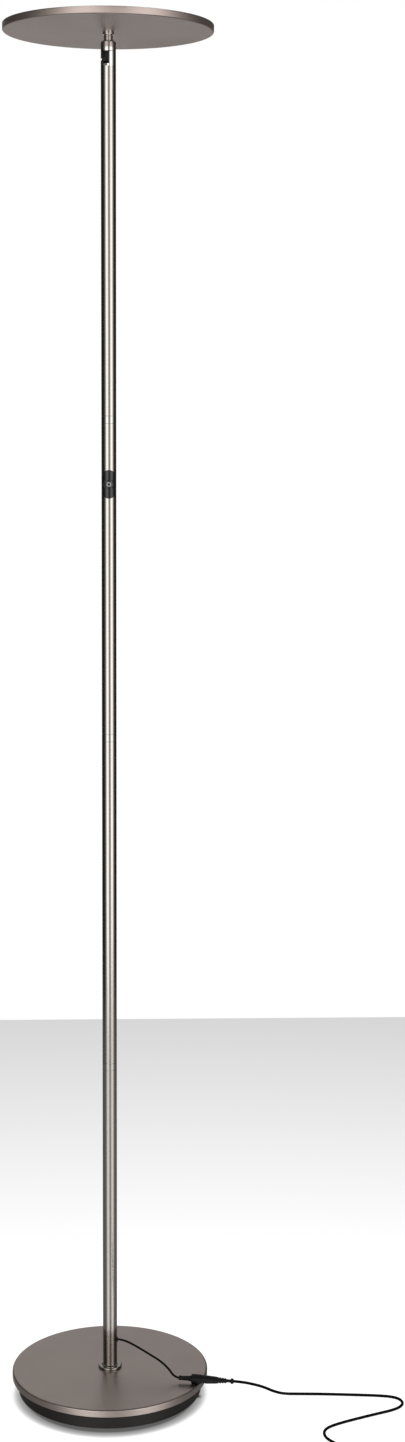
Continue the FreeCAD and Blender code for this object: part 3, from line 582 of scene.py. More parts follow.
@dataclass
class Base:
    """Round weighted base: a metal cover over a black tray, and the polished ring at the foot."""

    sheet: float = 0.001
    cover_edge: float = 0.0024
    tray_wall: float = 0.0024
    tray_floor: float = 0.0025
    tray_edge: float = 0.0012
    pocket_radius: float = 0.014
    nipple_radius: float = 0.005
    ring_edge: float = 0.0012
    ring_seat: float = 0.0012
    ring_lip: float = 0.0014
    pole_radius: float = 0.0085

    def build(self) -> None:
        """Builds the base's visible pieces."""
        self.cover()
        self.tray()
        self.foot_ring()

    def cover(self) -> Object:
        """The pressed cover with its turned-down, hemmed rim."""
        low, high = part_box("base_cover")
        inner, under = high.x - self.sheet, high.z - self.sheet
        shape = turned([(self.nipple_radius, high.z), (high.x, high.z, self.cover_edge),
                        (high.x, low.z, 0.0003), (inner, low.z, 0.0003),
                        (inner, under, self.cover_edge - self.sheet), (self.nipple_radius, under)],
                       segments=288, arc_steps=8)
        return piece("base_cover_metal", shape, SPUN_NICKEL, Body.STAND, "base_cover")

    def tray(self) -> Object:
        """The moulded tray under the cover."""
        low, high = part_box("base_tray")
        inner, floor_top = high.x - self.tray_wall, low.z + self.tray_floor
        shape = turned([(self.pocket_radius, low.z, 0.0004), (high.x, low.z, self.tray_edge),
                        (high.x, high.z), (inner, high.z), (inner, floor_top),
                        (self.pocket_radius, floor_top)], segments=240)
        return piece("base_tray_moulding", shape, BLACK_MOULDING, Body.STAND, "base_tray")

    def foot_ring(self) -> Object:
        """The turned ring that the pole stands in."""
        low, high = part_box("foot_ring")
        socket = self.pole_radius + SLIP
        seat = low.z + self.ring_seat
        shape = turned([(self.nipple_radius, low.z), (high.x, low.z, SMALL_EDGE),
                        (high.x, high.z, self.ring_edge), (socket + self.ring_lip, high.z, 0.0006),
                        (socket, high.z - 0.001), (socket, seat), (self.nipple_radius, seat)],
                       segments=128, arc_steps=7)
        return piece("foot_ring_polished", shape, RING_NICKEL, Body.STAND, "foot_ring")


# ---- Pole ----


@dataclass
class Pole:
    """Four tubes with polished rings between them, and the grommet that the lead comes out of."""

    wall: float = 0.001
    tube_edge: float = 0.00012
    ring_edge: float = 0.00035
    stud_radius: float = 0.00495
    stud_length: float = 0.012
    spigot_length: float = 0.014
    bore: float = 0.0032
    grommet_hole: float = 0.00225
    grommet_radius: float = 0.0022
    grommet_flange: float = 0.0032
    grommet_mouth: float = 0.0094
    grommet_bore: float = 0.00105
    grommet_seat: float = 0.0007
    exit_height: float = 0.062
    exit_margin: float = 0.006
    switch_margin: float = 0.003
    switch_hole: tuple[float, float] = (0.008, 0.0325)
    tubes: int = 4

    def build(self) -> None:
        """Builds the tubes, the rings and the grommet."""
        for index in range(1, self.tubes + 1):
            self.tube(index)
        for index in range(1, self.tubes):
            self.ring(index)
        self.grommet()

    def tube(self, index: int) -> Object:
        """One section of the pole, opened where the lead or the switch goes through its wall.

        Args:
            index: The section's number, from 1 at the floor.

        Returns:
            The tube's object.
        """
        low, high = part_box(f"pole_tube_{index}")
        switch_low, switch_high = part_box("switch_panel")
        radius, inner = high.x, high.x - self.wall
        outer_levels = [low.z, high.z]
        if low.z < self.exit_height < high.z:
            outer_levels += [self.exit_height - self.exit_margin,
                             self.exit_height + self.exit_margin]
        if low.z < switch_low.z < high.z:
            outer_levels += [switch_low.z - self.switch_margin, switch_high.z + self.switch_margin]
        outer_levels.sort()
        profile = [(inner, low.z)]
        for level in outer_levels:
            profile.append((radius, level, self.tube_edge) if level in (low.z, high.z) else (radius,
                                                                                             level))
        profile.append((inner, high.z))
        shape = turned(profile, segments=96, arc_steps=2)
        if low.z < self.exit_height < high.z:
            middle = UP * self.exit_height
            shape = combined(shape, rod(self.grommet_hole, middle, middle + Vector((0.02, 0, 0))))
        if low.z < switch_low.z < high.z:
            shape = combined(shape, stadium(*self.switch_hole, (switch_low.z + switch_high.z) / 2,
                                            0.0))
        return piece(f"pole_section_{index}", shape, TUBE_NICKEL, Body.STAND, f"pole_tube_{index}")

    def ring(self, index: int) -> Object:
        """A polished ring, with the stud below and the spigot above that join two tubes.

        Args:
            index: The ring's number, from 1 at the lowest.

        Returns:
            The ring's object.
        """
        low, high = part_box(f"joint_ring_{index}")
        radius = high.x
        spigot = radius - self.wall - SLIP
        bottom, top = low.z + self.stud_length, high.z - self.spigot_length
        shape = turned([(self.bore, low.z), (self.stud_radius, low.z), (self.stud_radius, bottom),
                        (radius, bottom, self.ring_edge), (radius, top, self.ring_edge),
                        (spigot, top), (spigot, high.z), (self.bore, high.z)], segments=96,
                       arc_steps=4)
        return piece(f"collar_ring_{index}", shape, POLISHED_NICKEL, Body.STAND,
                     f"joint_ring_{index}")

    def grommet(self) -> Object:
        """The rubber bush in the pole's wall."""
        low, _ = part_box("cord_grommet")
        inside, seat = low.x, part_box("pole_tube_1")[1].x - self.grommet_seat
        shape = turned([(self.grommet_bore, inside), (self.grommet_radius, inside),
                        (self.grommet_radius, seat), (self.grommet_flange, seat),
                        (self.grommet_flange, self.grommet_mouth, SOFT_EDGE),
                        (self.grommet_bore, self.grommet_mouth, 0.0003)], segments=48)
        place = Matrix.Translation(UP * self.exit_height) @ Matrix.Rotation(QUARTER_TURN, 4, "Y")
        shape = placed(shape, place)
        return piece("lead_grommet", shape, SOFT_BLACK, Body.STAND, "cord_grommet")


# ---- Switch ----


def stadium(half_width: float, length: float, middle: float, back: float,
            front: float = -0.012) -> BMesh:
    """A block with rounded ends, seen from the front, about a height on the pole.

    Args:
        half_width: Half its width, which is also its ends' radius.
        length: Its height.
        middle: The height of its centre.
        back: Where it ends behind.
        front: Where it starts in front.

    Returns:
        The closed block.
    """
    reach = Vector((half_width, 0, length / 2))
    shape = block(Vector((0, front, middle)) - reach, Vector((0, back, middle)) + reach)
    return rounded(shape, FRONT, half_width * 0.9999, steps=20)


@dataclass
class Switch:
    """Glossy panel let into the pole, with a round push button that carries a printed ring."""

    panel_half_width: float = 0.0079
    panel_wall: float = 0.0015
    panel_back: float = -0.0001
    boss_radius: float = 0.0062
    boss_depth: float = 0.0042
    boss_front: float = -0.0078
    button_radius: float = 0.0048
    button_gap: float = 0.0001
    button_edge: float = 0.00045
    cap_length: float = 0.00467
    flange: float = 0.0008
    flange_gap: float = 0.0006
    stem_radius: float = 0.0016
    stem_end: float = -0.0017
    mark_radii: tuple[float, float] = (0.0015, 0.0027)
    mark_depth: float = 0.00004

    def build(self) -> None:
        """Builds the panel, the button and the button's mark."""
        low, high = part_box("switch_panel")
        self.middle = (low.z + high.z) / 2
        self.length = high.z - low.z
        self.panel_radius = -low.y
        self.front_radius = -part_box("switch_button")[0].y
        self.panel()
        self.button()
        self.mark()

    def _level(self, depth: float) -> Vector:
        """The point on the switch's own axis at a place along Y."""
        return Vector((0.0, depth, self.middle))

    def _drum(self, radius: float, half: float, edge: float = 0.0) -> BMesh:
        """An upright cylinder about the pole's axis, around the switch.

        Args:
            radius: Its radius.
            half: Half its height.
            edge: Rounding of its ends.

        Returns:
            The closed cylinder.
        """
        low, high = self.middle - half, self.middle + half
        return turned([(0.0, low), (radius, low, edge), (radius, high, edge),
                       (0.0, high)] if edge else [(0.0, low), (radius, low), (radius, high),
                                                  (0.0, high)], segments=192)

    def panel(self) -> Object:
        """The curved glossy panel with the boss behind it."""
        wall = self._drum(self.panel_radius, self.length)
        hollow = self._drum(self.panel_radius - self.panel_wall, self.length * 1.1)
        shell = combined(wall, hollow)
        outline = (self.panel_half_width, self.length, self.middle, self.panel_back)
        boss = combined(rod(self.boss_radius, self._level(self.boss_front),
                            self._level(-self.boss_depth)), stadium(*outline), how="INTERSECT")
        body = combined(shell, stadium(*outline), how="INTERSECT")
        body = combined(body, boss, how="UNION")
        body = combined(body, rod(self.button_radius + self.button_gap, self._level(-0.02),
                                  self._level(0.0), segments=64))
        return piece("switch_plate", body, BLACK_GLOSS, Body.STAND, "switch_panel")

    def button(self) -> Object:
        """The push button: a cap curved like the pole, a flange behind the panel and a stem."""
        flange_start = self._level(-self.boss_depth + self.button_gap)
        flange_end = flange_start - FRONT * self.flange
        cap = placed(turned([(0.0, 0.0), (self.button_radius, 0.0),
                             (self.button_radius, self.cap_length, self.button_edge),
                             (0.0, self.cap_length)], segments=64),
                     Matrix.Translation(flange_start) @ Matrix.Rotation(QUARTER_TURN, 4, "X"))
        cap = combined(cap, self._drum(self.front_radius, self.length), how="INTERSECT")
        flange = rod(self.boss_radius - self.flange_gap, flange_start - FRONT * MERGE, flange_end)
        stem = rod(self.stem_radius, flange_end + FRONT * SMALL_EDGE, self._level(self.stem_end),
                   segments=24)
        body = combined(cap, flange, stem, how="UNION")
        return piece("switch_cap", body, BLACK_GLOSS, Body.BUTTON, "switch_button")

    def mark(self) -> Object:
        """The pale ring printed on the button."""
        inner, outer = self.mark_radii
        band = combined(rod(outer, self._level(-0.02), self._level(-0.005), segments=64),
                        rod(inner, self._level(-0.03), self._level(0.0), segments=48))
        skin = combined(self._drum(self.front_radius + self.mark_depth, 0.006),
                        self._drum(self.front_radius - self.mark_depth, 0.007))
        body = combined(skin, band, how="INTERSECT")
        return piece("switch_ring_mark", body, MARKING_PAINT, Body.BUTTON)


# ---- Tilt joint ----


@dataclass
class TiltJoint:
    """The slotted collar on the pole, the pivot screw, the lug, and the knuckle and neck above."""

    azimuth: float = math.radians(-106.6)
    pole_radius: float = 0.0085
    insert_radius: float = 0.00745
    nipple_radius: float = 0.005
    spigot: float = 0.014
    edge: float = 0.00025
    slot_width: float = 0.0063
    slot_floor: float = 0.0004
    slot_back: float = 0.0006
    pin_forward: float = 0.004
    pin_drop: float = 0.009
    pin_radius: float = 0.00125
    pin_half_length: float = 0.0055
    screw_head: tuple[float, float] = (0.0022, 0.001)
    screw_prong: float = 0.0047
    screw_slot: Point = (0.0016, 0.0005, 0.0003)
    channel: tuple[float, float] = (0.0016, -0.003)
    lug_radius: float = 0.003
    lug_half_width: float = 0.0024
    lug_stud: tuple[float, float] = (0.0018, 0.005)
    knuckle_chamfer: float = 0.0017
    pocket: tuple[float, float] = (0.0033, -0.0019)
    neck_radius: float = 0.005
    neck_spigot: tuple[float, float] = (0.004, 0.005)
    neck_bore: float = 0.0026
    neck_chamfer: float = 0.0005
    neck_undercut: float = 0.0008
    flange_radius: float = 0.0063
    flange_thickness: float = 0.0028

    def build(self) -> None:
        """Builds the joint's visible pieces."""
        low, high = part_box("fork")
        self.bottom, self.top = low.z + self.spigot, high.z
        self.pin = Vector((self.pin_forward, 0.0, self.top - self.pin_drop))
        self.seat, self.knuckle_top = (corner.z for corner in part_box("knuckle"))
        self.turn = Matrix.Rotation(self.azimuth, 4, "Z")
        self.fork()
        self.pivot_screw()
        self.lug()
        self.knuckle()
        self.neck()

    def fork(self) -> Object:
        """The slotted collar, its front top edge rounded about the pin so that the head can lean."""
        reach = self.pole_radius + OVERSHOOT
        body = turned([(self.nipple_radius, self.bottom - self.spigot),
                       (self.insert_radius, self.bottom - self.spigot),
                       (self.insert_radius, self.bottom),
                       (self.pole_radius, self.bottom, self.edge),
                       (self.pole_radius, self.top, self.edge), (0.0, self.top),
                       (0.0, self.bottom - 0.002), (self.nipple_radius, self.bottom - 0.002)],
                      segments=96, arc_steps=3)
        half = self.slot_width / 2
        slot = block(Vector((self.slot_back, -half, self.bottom + self.slot_floor)),
                     Vector((reach, half, self.top + OVERSHOOT)))
        relief = combined(block(Vector((self.pin_forward, -reach, self.pin.z)),
                                Vector((reach, reach, self.top + OVERSHOOT))),
                          rod(self.pin_drop, self.pin - SIDEWAYS * 2 * reach,
                              self.pin + SIDEWAYS * 2 * reach, segments=192))
        hole = rod(self.pin_radius + SLIP, self.pin - SIDEWAYS * reach,
                   self.pin + SIDEWAYS * (self.pin_half_length + SLIP))
        head_hole = rod(self.screw_head[0] + 2 * SLIP, self.pin - SIDEWAYS * reach,
                        self.pin - SIDEWAYS * self.screw_prong)
        radius, place = self.channel
        channel = rod(radius, Vector((place, 0, self.bottom - 0.02)),
                      Vector((place, 0, self.top + OVERSHOOT)))
        body = combined(body, slot, relief, hole, head_hole, channel)
        return piece("hinge_fork", placed(body, self.turn), JOINT_NICKEL, Body.STAND, "fork")

    def pivot_screw(self) -> Object:
        """The hinge pin with a slotted flat head."""
        radius, height = self.screw_head
        seat = self.pin - SIDEWAYS * self.screw_prong
        face = seat - SIDEWAYS * height
        shape = turned([(0.0, 0.0), (radius, 0.0, SMALL_EDGE), (radius, height),
                        (self.pin_radius, height),
                        (self.pin_radius, height + self.screw_prong + self.pin_half_length, 0.0003),
                        (0.0, height + self.screw_prong + self.pin_half_length)], segments=64,
                       arc_steps=3)
        shape = placed(shape, Matrix.Translation(face) @ Matrix.Rotation(-QUARTER_TURN, 4, "X"))
        reach = Vector(self.screw_slot)
        shape = combined(shape, block(face - reach, face + reach))
        return piece("hinge_screw", placed(shape, self.turn), DARK_ZINC, Body.STAND, "pivot_screw")

    def lug(self) -> Object:
        """The black steel lug that turns on the pin and screws into the knuckle. Its near-black
        colour is partly painted shade: it darkens the slot round it, beside the shade its recess
        casts.
        """
        across = SIDEWAYS * self.lug_half_width
        eye = rod(self.lug_radius, self.pin - across, self.pin + across, segments=64)
        bar = block(self.pin - across - Vector((self.lug_radius, 0, 0)),
                    Vector((self.pin_forward + self.lug_radius, self.lug_half_width, self.seat)))
        radius, length = self.lug_stud
        foot = Vector((self.pin_forward, 0, self.seat))
        stud = rod(radius, foot - UP * 0.0002, foot + UP * length, segments=32)
        body = combined(eye, bar, stud, how="UNION")
        body = combined(body, rod(self.pin_radius + SLIP, self.pin - 2 * across,
                                  self.pin + 2 * across))
        return piece("hinge_lug", placed(body, self.turn), BLACK_STEEL_SLOT_SHADE, Body.HEAD, "tilt_lug")

    def knuckle(self) -> Object:
        """The turned, chamfered body that seats on the fork."""
        low, top = self.seat, self.knuckle_top
        spigot_radius, spigot_length = self.neck_spigot
        body = turned([(0.0, low), (self.pole_radius, low, self.edge),
                       (self.pole_radius, top - self.knuckle_chamfer, SMALL_EDGE),
                       (self.pole_radius - self.knuckle_chamfer, top, SMALL_EDGE), (0.0, top)],
                      segments=96, arc_steps=3)
        stud_radius, stud_length = self.lug_stud
        lug_hole = rod(stud_radius + SLIP, Vector((self.pin_forward, 0, low - OVERSHOOT)),
                       Vector((self.pin_forward, 0, low + stud_length + 0.0004)), segments=32)
        radius, place = self.pocket
        pocket = rod(radius, Vector((place, 0, low - OVERSHOOT)),
                     Vector((place, 0, top - spigot_length)))
        neck_hole = rod(spigot_radius + SLIP, UP * (top - spigot_length - 0.0001),
                        UP * (top + OVERSHOOT))
        body = combined(body, lug_hole, pocket, neck_hole)
        return piece("hinge_knuckle", placed(body, self.turn), JOINT_NICKEL, Body.HEAD, "knuckle")

    def neck(self) -> Object:
        """The turned neck, with its flange under the pan and its threaded end through it."""
        low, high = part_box("neck_stem")
        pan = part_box("head_pan")[0].z
        flange = pan - self.flange_thickness
        radius = self.neck_spigot[0]
        shape = turned([(self.neck_bore, low.z), (radius, low.z), (radius, self.knuckle_top),
                        (self.neck_radius - self.neck_chamfer, self.knuckle_top),
                        (self.neck_radius, self.knuckle_top + self.neck_chamfer),
                        (self.neck_radius, flange - self.neck_undercut),
                        (self.neck_radius - self.neck_chamfer, flange),
                        (self.flange_radius, flange, SOFT_EDGE), (self.flange_radius, pan),
                        (radius, pan), (radius, high.z), (self.neck_bore, high.z)], segments=96,
                       arc_steps=4)
        return piece("neck_turned", shape, JOINT_NICKEL, Body.HEAD, "neck_stem")


# ---- Head ----


@dataclass
class Head:
    """The thin disc head: a spun pan, a trim ring and an opal disc."""

    sheet: float = 0.001
    pan_edge: float = 0.0016
    bezel_lip: float = 0.0012
    bezel_width: float = 0.006
    bezel_wall: float = 0.0011
    bezel_edges: tuple[float, float] = (0.0003, 0.0005)
    hole: float = 0.00405
    stud_radius: float = 0.0015
    stud_circle: float = 0.072
    studs: int = 4

    def build(self) -> None:
        """Builds the pan, the trim ring and the opal disc."""
        self.pan()
        self.bezel()
        self.diffuser()

    def pan(self) -> Object:
        """The spun pan, with the welded studs that hold the light unit."""
        low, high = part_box("head_pan")
        radius, inner, inside = high.x, high.x - self.sheet, low.z + self.sheet
        shell = turned([(self.hole, low.z), (radius, low.z, self.pan_edge), (radius, high.z),
                        (inner, high.z), (inner, inside, self.pan_edge - self.sheet),
                        (self.hole, inside)], segments=288, arc_steps=8)
        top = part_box("board_nuts")[1].z
        studs = []
        for index in range(self.studs):
            angle = FULL_TURN * (index + 0.5) / self.studs
            foot = Vector((self.stud_circle * math.cos(angle), self.stud_circle * math.sin(angle),
                           inside))
            studs.append(rod(self.stud_radius, foot, foot + UP * (top - inside), segments=20))
        return piece("head_dish", joined(shell, *studs), PAN_NICKEL, Body.HEAD, "head_pan")

    def bezel(self) -> Object:
        """The trim ring on the pan's edge."""
        low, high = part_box("bezel")
        lip = high.z - self.bezel_lip
        inner_edge, outer_edge = self.bezel_edges
        skirt = high.x - self.sheet - 2 * SLIP
        shape = turned([(high.x - self.bezel_width, lip),
                        (high.x - self.bezel_width, high.z, inner_edge),
                        (high.x, high.z, outer_edge), (high.x, lip, SMALL_EDGE), (skirt, lip),
                        (skirt, low.z), (skirt - self.bezel_wall, low.z),
                        (skirt - self.bezel_wall, lip)], segments=288, arc_steps=5)
        return piece("head_trim", shape, SPUN_NICKEL, Body.HEAD, "bezel")

    def diffuser(self) -> Object:
        """The opal disc that the light comes through."""
        low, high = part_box("diffuser")
        shape = turned([(0.0, low.z), (high.x, low.z, SMALL_EDGE), (high.x, high.z, SMALL_EDGE),
                        (0.0, high.z)], segments=192, arc_steps=2)
        return piece("head_lens", shape, OPAL_ACRYLIC, Body.HEAD, "diffuser")


# ---- Lead, connector and cord ----

LEAD_ROUTE: tuple[Point, ...] = (
    (0.0094, 0.0, 0.062), (0.0175, -0.0014, 0.0614), (0.031, -0.0094, 0.0574),
    (0.046, -0.021, 0.0528), (0.0605, -0.0314, 0.0478), (0.0705, -0.0388, 0.041),
    (0.0762, -0.0453, 0.0343), (0.082, -0.0469, 0.03355),
)
CORD_FLOOR = 0.0018
FLOOR_RUN: tuple[tuple[float, float], ...] = (
    (0.226, -0.0278), (0.256, -0.0292), (0.29, -0.0323), (0.318, -0.035), (0.337, -0.0382),
    (0.3475, -0.0445), (0.3508, -0.056), (0.3455, -0.0668), (0.334, -0.075), (0.318, -0.082),
    (0.294, -0.093), (0.2675, -0.1062), (0.2525, -0.1168), (0.2476, -0.129), (0.2498, -0.1425),
    (0.2578, -0.1538), (0.2672, -0.1646), (0.278, -0.1746),
)
CORD_ROUTE: tuple[Point, ...] = (
    (0.158, -0.0596, 0.0328), (0.171, -0.0555, 0.028), (0.184, -0.0465, 0.02),
    (0.196, -0.038, 0.0105), (0.209, -0.0304, 0.0034),
    *((x, y, CORD_FLOOR) for x, y in FLOOR_RUN),
    (0.2827, -0.187, 0.0023),
)
TAIL_ROUTE: tuple[Point, ...] = (
    (0.2808, -0.213, 0.0116), (0.2792, -0.219, 0.0119), (0.2752, -0.2275, 0.013),
    (0.2724, -0.234, 0.014), (0.272, -0.238, 0.014),
)


@dataclass
class Connector:
    """The in-line jack and plug that lie on the base, one behind the other."""

    azimuth: float = math.radians(-10.2)
    jack_relief: tuple[float, float, float] = (0.015, 0.0027, 0.0033)
    jack_radius: float = 0.0055
    jack_length: float = 0.012
    jack_edges: tuple[float, float] = (0.0015, 0.0008)
    waist: tuple[float, ...] = (0.0042, 0.0039, 0.0034, 0.0031)
    waist_depth: float = 0.0003
    barrel: tuple[float, float] = (0.0028, 0.01)
    plug_radii: tuple[float, float] = (0.0049, 0.0041)
    plug_length: float = 0.019
    plug_edge: float = 0.0006
    grip: tuple[float, ...] = (0.003, 0.0035, 0.005, 0.0055)
    grip_depth: float = 0.0004
    plug_relief: tuple[float, float, float] = (0.02, 0.0038, 0.0022)
    rings: int = 4
    ring_step: float = 0.003
    ring_edge: float = 0.00015
    ring_depth: float = 0.0009
    ring_places: tuple[float, ...] = (0.0018, 0.0021, 0.00285)
    ring_slope: float = 0.0008
    bead_radius: float = 0.0033
    bead_edge: float = 0.0006
    bead_places: tuple[float, ...] = (0.004, 0.0032, 0.001)
    neck_gap: float = 0.0004
    neck_depth: float = 0.0003
    jack_ribs: int = 5
    groove: float = 0.0005

    def build(self) -> tuple[list[Object], list[Object]]:
        """Builds the four mouldings.

        Returns:
            The jack's pieces and the plug's.
        """
        turn = Matrix.Rotation(self.azimuth, 4, "Z") @ Matrix.Rotation(QUARTER_TURN, 4, "Y")
        self.place = Matrix.Translation(LEAD_ROUTE[-1]) @ turn
        return [self.jack_strain_relief(), self.jack()], [self.plug(), self.plug_strain_relief()]

    @property
    def end(self) -> Point:
        """The point where the adapter's cord leaves the connector."""
        reach = self.jack_relief[0] + self.jack_length + self.plug_length + self.plug_relief[0]
        return tuple(self.place @ Vector((0, 0, reach)))

    def jack_strain_relief(self) -> Object:
        """The ribbed cone where the lead enters the jack."""
        length, narrow, wide = self.jack_relief
        profile = [(0.0, 0.0), (narrow, 0.0, 0.0004),
                   *grooved(narrow, wide, length, self.jack_ribs, self.groove),
                   (wide, length / (self.jack_ribs + 1) * self.jack_ribs, SMALL_EDGE),
                   (wide, length), (0.0, length)]
        shape = placed(turned(profile, segments=56, arc_steps=2), self.place)
        return piece("jack_strain_relief", shape, SOFT_BLACK, Body.STAND, "jack_relief")

    def jack(self) -> Object:
        """The jack's housing, with the socket for the plug's barrel."""
        start, end = self.jack_relief[0], self.jack_relief[0] + self.jack_length
        radius, depth = self.barrel
        back_edge, front_edge = self.jack_edges
        first, second, third, fourth = (end - place for place in self.waist)
        narrow = self.jack_radius - self.waist_depth
        shape = turned([(0.0, start), (self.jack_radius, start, back_edge),
                        (self.jack_radius, first, SMALL_EDGE), (narrow, second, FINE_EDGE),
                        (narrow, third, FINE_EDGE), (self.jack_radius, fourth, SMALL_EDGE),
                        (self.jack_radius, end, front_edge), (radius, end), (radius, end - depth),
                        (0.0, end - depth)], segments=72, arc_steps=5)
        return piece("jack_housing", placed(shape, self.place), SOFT_BLACK, Body.STAND, "jack_body")

    def plug(self) -> Object:
        """The moulded plug with its grip groove, tapering towards its relief."""
        start = self.jack_relief[0] + self.jack_length
        end = start + self.plug_length
        wide, narrow = self.plug_radii
        low = wide - self.grip_depth
        first, second, third, fourth = (start + place for place in self.grip)
        shape = turned([(0.0, start), (wide, start, SOFT_EDGE), (wide, first, SMALL_EDGE),
                        (low, second, SMALL_EDGE), (low, third, SMALL_EDGE),
                        (wide, fourth, SMALL_EDGE), (narrow, end, self.plug_edge), (0.0, end)],
                       segments=64, arc_steps=4)
        return piece("plug_housing", placed(shape, self.place), SOFT_BLACK, Body.STAND, "plug_body")

    def plug_strain_relief(self) -> Object:
        """The ringed cone behind the plug, with a narrow neck and a bead at its end."""
        length, wide, narrow = self.plug_relief
        start = self.jack_relief[0] + self.jack_length + self.plug_length
        profile: list[tuple[float, ...]] = [(0.0, start)]
        for ring in range(self.rings):
            radius = wide + (narrow + self.ring_slope - wide) * ring / (self.rings - 1)
            inner, foot = radius - self.ring_depth, start + self.ring_step * ring
            crest, low, high = (foot + place for place in self.ring_places)
            profile += [(radius, foot, self.ring_edge), (radius, crest, self.ring_edge),
                        (inner, low), (inner, high)]
        neck, end = start + self.ring_step * self.rings + self.neck_gap, start + length
        slim = narrow - self.neck_depth
        taper, first, last = (end - place for place in self.bead_places)
        profile += [(slim, neck), (slim, taper), (self.bead_radius, first, self.bead_edge),
                    (self.bead_radius, last, self.bead_edge), (narrow, end), (0.0, end)]
        shape = placed(turned(profile, segments=56, arc_steps=3), self.place)
        return piece("plug_strain_relief", shape, SOFT_BLACK, Body.STAND, "plug_relief")


def cord_curve(name: str, points: Sequence[Point], radius: float, *nodes: str) -> Object:
    """Lays a cord on one smooth line.

    Args:
        name: The piece's name.
        points: The line's control points.
        radius: The cord's radius.
        nodes: The frame's nodes that it stands for.

    Returns:
        The cord's object.
    """
    curve = bpy.data.curves.new(name, "CURVE")
    curve.dimensions = "3D"
    curve.resolution_u = 8
    curve.bevel_depth = radius
    curve.bevel_resolution = 5
    curve.use_fill_caps = True
    line = curve.splines.new("NURBS")
    line.points.add(len(points) - 1)
    for spot, place in zip(line.points, points):
        spot.co = (*place, 1.0)
    line.order_u = 3
    line.use_endpoint_u = True
    curve.materials.append(CORD_JACKET.material())
    item = bpy.data.objects.new(name, curve)
    bpy.context.scene.collection.objects.link(item)
    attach(item, Body.STAND.value)
    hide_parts(*nodes)
    log.info("%s: %d points, %s", name, len(points), CORD_JACKET.slot)
    return item


@dataclass
class Coil:
    """The put-away length of the cord, wound in four layers that nest in each other."""

    centre: tuple[float, float] = (0.262, -0.203)
    middle: float = 0.017
    pitch: float = 0.0034
    rise: float = 0.00294
    floor: float = 0.0029
    start: float = math.radians(11.3)
    layers: tuple[tuple[float, ...], ...] = ((1, 0, -1), (-0.5, 0.5), (1, 0, -1), (-0.5, 0.5))
    steps: int = 16
    shift_share: float = 0.25

    def lanes(self) -> list[tuple[float, float]]:
        """The radius and the height of each turn, in the order in which it is wound."""
        return [(self.middle + lane * self.pitch, self.floor + layer * self.rise)
                for layer, lanes in enumerate(self.layers) for lane in lanes]

    def points(self) -> list[Point]:
        """Winds the coil clockwise, seen from above, from its outer edge.

        Returns:
            The points of its turns.
        """
        lanes = self.lanes()
        spread = 8 / (6 + 2 * math.cos(FULL_TURN / self.steps))
        points = []
        for index in range(1, len(lanes) * self.steps):
            turn, step = divmod(index, self.steps)
            share = max(0.0, (step / self.steps - 1 + self.shift_share) / self.shift_share)
            share = share * share * (3 - 2 * share)
            radius, height = lanes[turn]
            if turn + 1 < len(lanes):
                radius += (lanes[turn + 1][0] - radius) * share
                height += (lanes[turn + 1][1] - height) * share
            angle = self.start - FULL_TURN * index / self.steps
            points.append((self.centre[0] + radius * spread * math.cos(angle),
                           self.centre[1] + radius * spread * math.sin(angle), height))
        return points


@dataclass
class Cords:
    """The lamp's own lead and the adapter's cord, with its coil."""

    lead_radius: float = 0.00125
    lead_length: float = 0.093
    cord_radius: float = 0.0017
    cord_length: float = 1.52
    case_nodes: tuple[str, ...] = ("adapter_shell", "adapter_cover", "adapter_prongs",
                                   "adapter_board")

    def build(self) -> None:
        connector = Connector()
        jack, plug = connector.build()
        lead = cord_curve("lead_from_pole", LEAD_ROUTE, self.lead_radius, "lamp_lead")
        coil = Coil()
        entry = (coil.centre[0] + coil.middle + coil.pitch, coil.centre[1] + 0.004, coil.floor)
        route = [connector.end, *CORD_ROUTE, entry, *coil.points(), *TAIL_ROUTE]
        cord = cord_curve("adapter_lead", route, self.cord_radius, "adapter_cord", "cord_coil",
                          "adapter_tail")
        small = Adapter().build()


# ---- Adapter ----


@dataclass
class Adapter:
    """The small pieces about the wall adapter: the relief on its end and the tie round the coil."""

    relief: tuple[float, float] = (0.0038, 0.0023)
    relief_groove: float = 0.0005
    ribs: int = 6
    tie_thickness: float = 0.0008
    tie_corner: float = 0.0022

    def build(self) -> list[Object]:
        """Builds both pieces.

        Returns:
            The pieces.
        """
        return [self.strain_relief(), self.coil_tie()]

    def strain_relief(self) -> Object:
        """The ribbed cone on the end that the cord enters."""
        low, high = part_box("adapter_relief")
        length = high.y - low.y
        wide, narrow = self.relief
        profile = [(0.0, 0.0), (wide, 0.0), *grooved(wide, narrow, length, self.ribs,
                                                     self.relief_groove),
                   (narrow, length / (self.ribs + 1) * self.ribs, FINE_EDGE),
                   (narrow, length, 0.0003), (0.0, length)]
        place = Matrix.Translation(((low.x + high.x) / 2, low.y, (low.z + high.z) / 2))
        shape = placed(turned(profile, segments=48, arc_steps=2),
                       place @ Matrix.Rotation(-QUARTER_TURN, 4, "X"))
        return piece("adapter_strain_relief", shape, SOFT_BLACK, Body.STAND, "adapter_relief")

    def coil_tie(self) -> Object:
        """The soft tie round the coil's section."""
        low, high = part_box("cable_tie")
        outer = rounded(block(low, high), FRONT, self.tie_corner, steps=6)
        draw = Vector((self.tie_thickness, -0.001, self.tie_thickness))
        inner = rounded(block(low + draw, high - draw), FRONT, self.tie_corner - self.tie_thickness,
                        steps=6)
        return piece("coil_tie", combined(outer, inner), SOFT_BLACK, Body.STAND, "cable_tie")


# ---- Studio ----


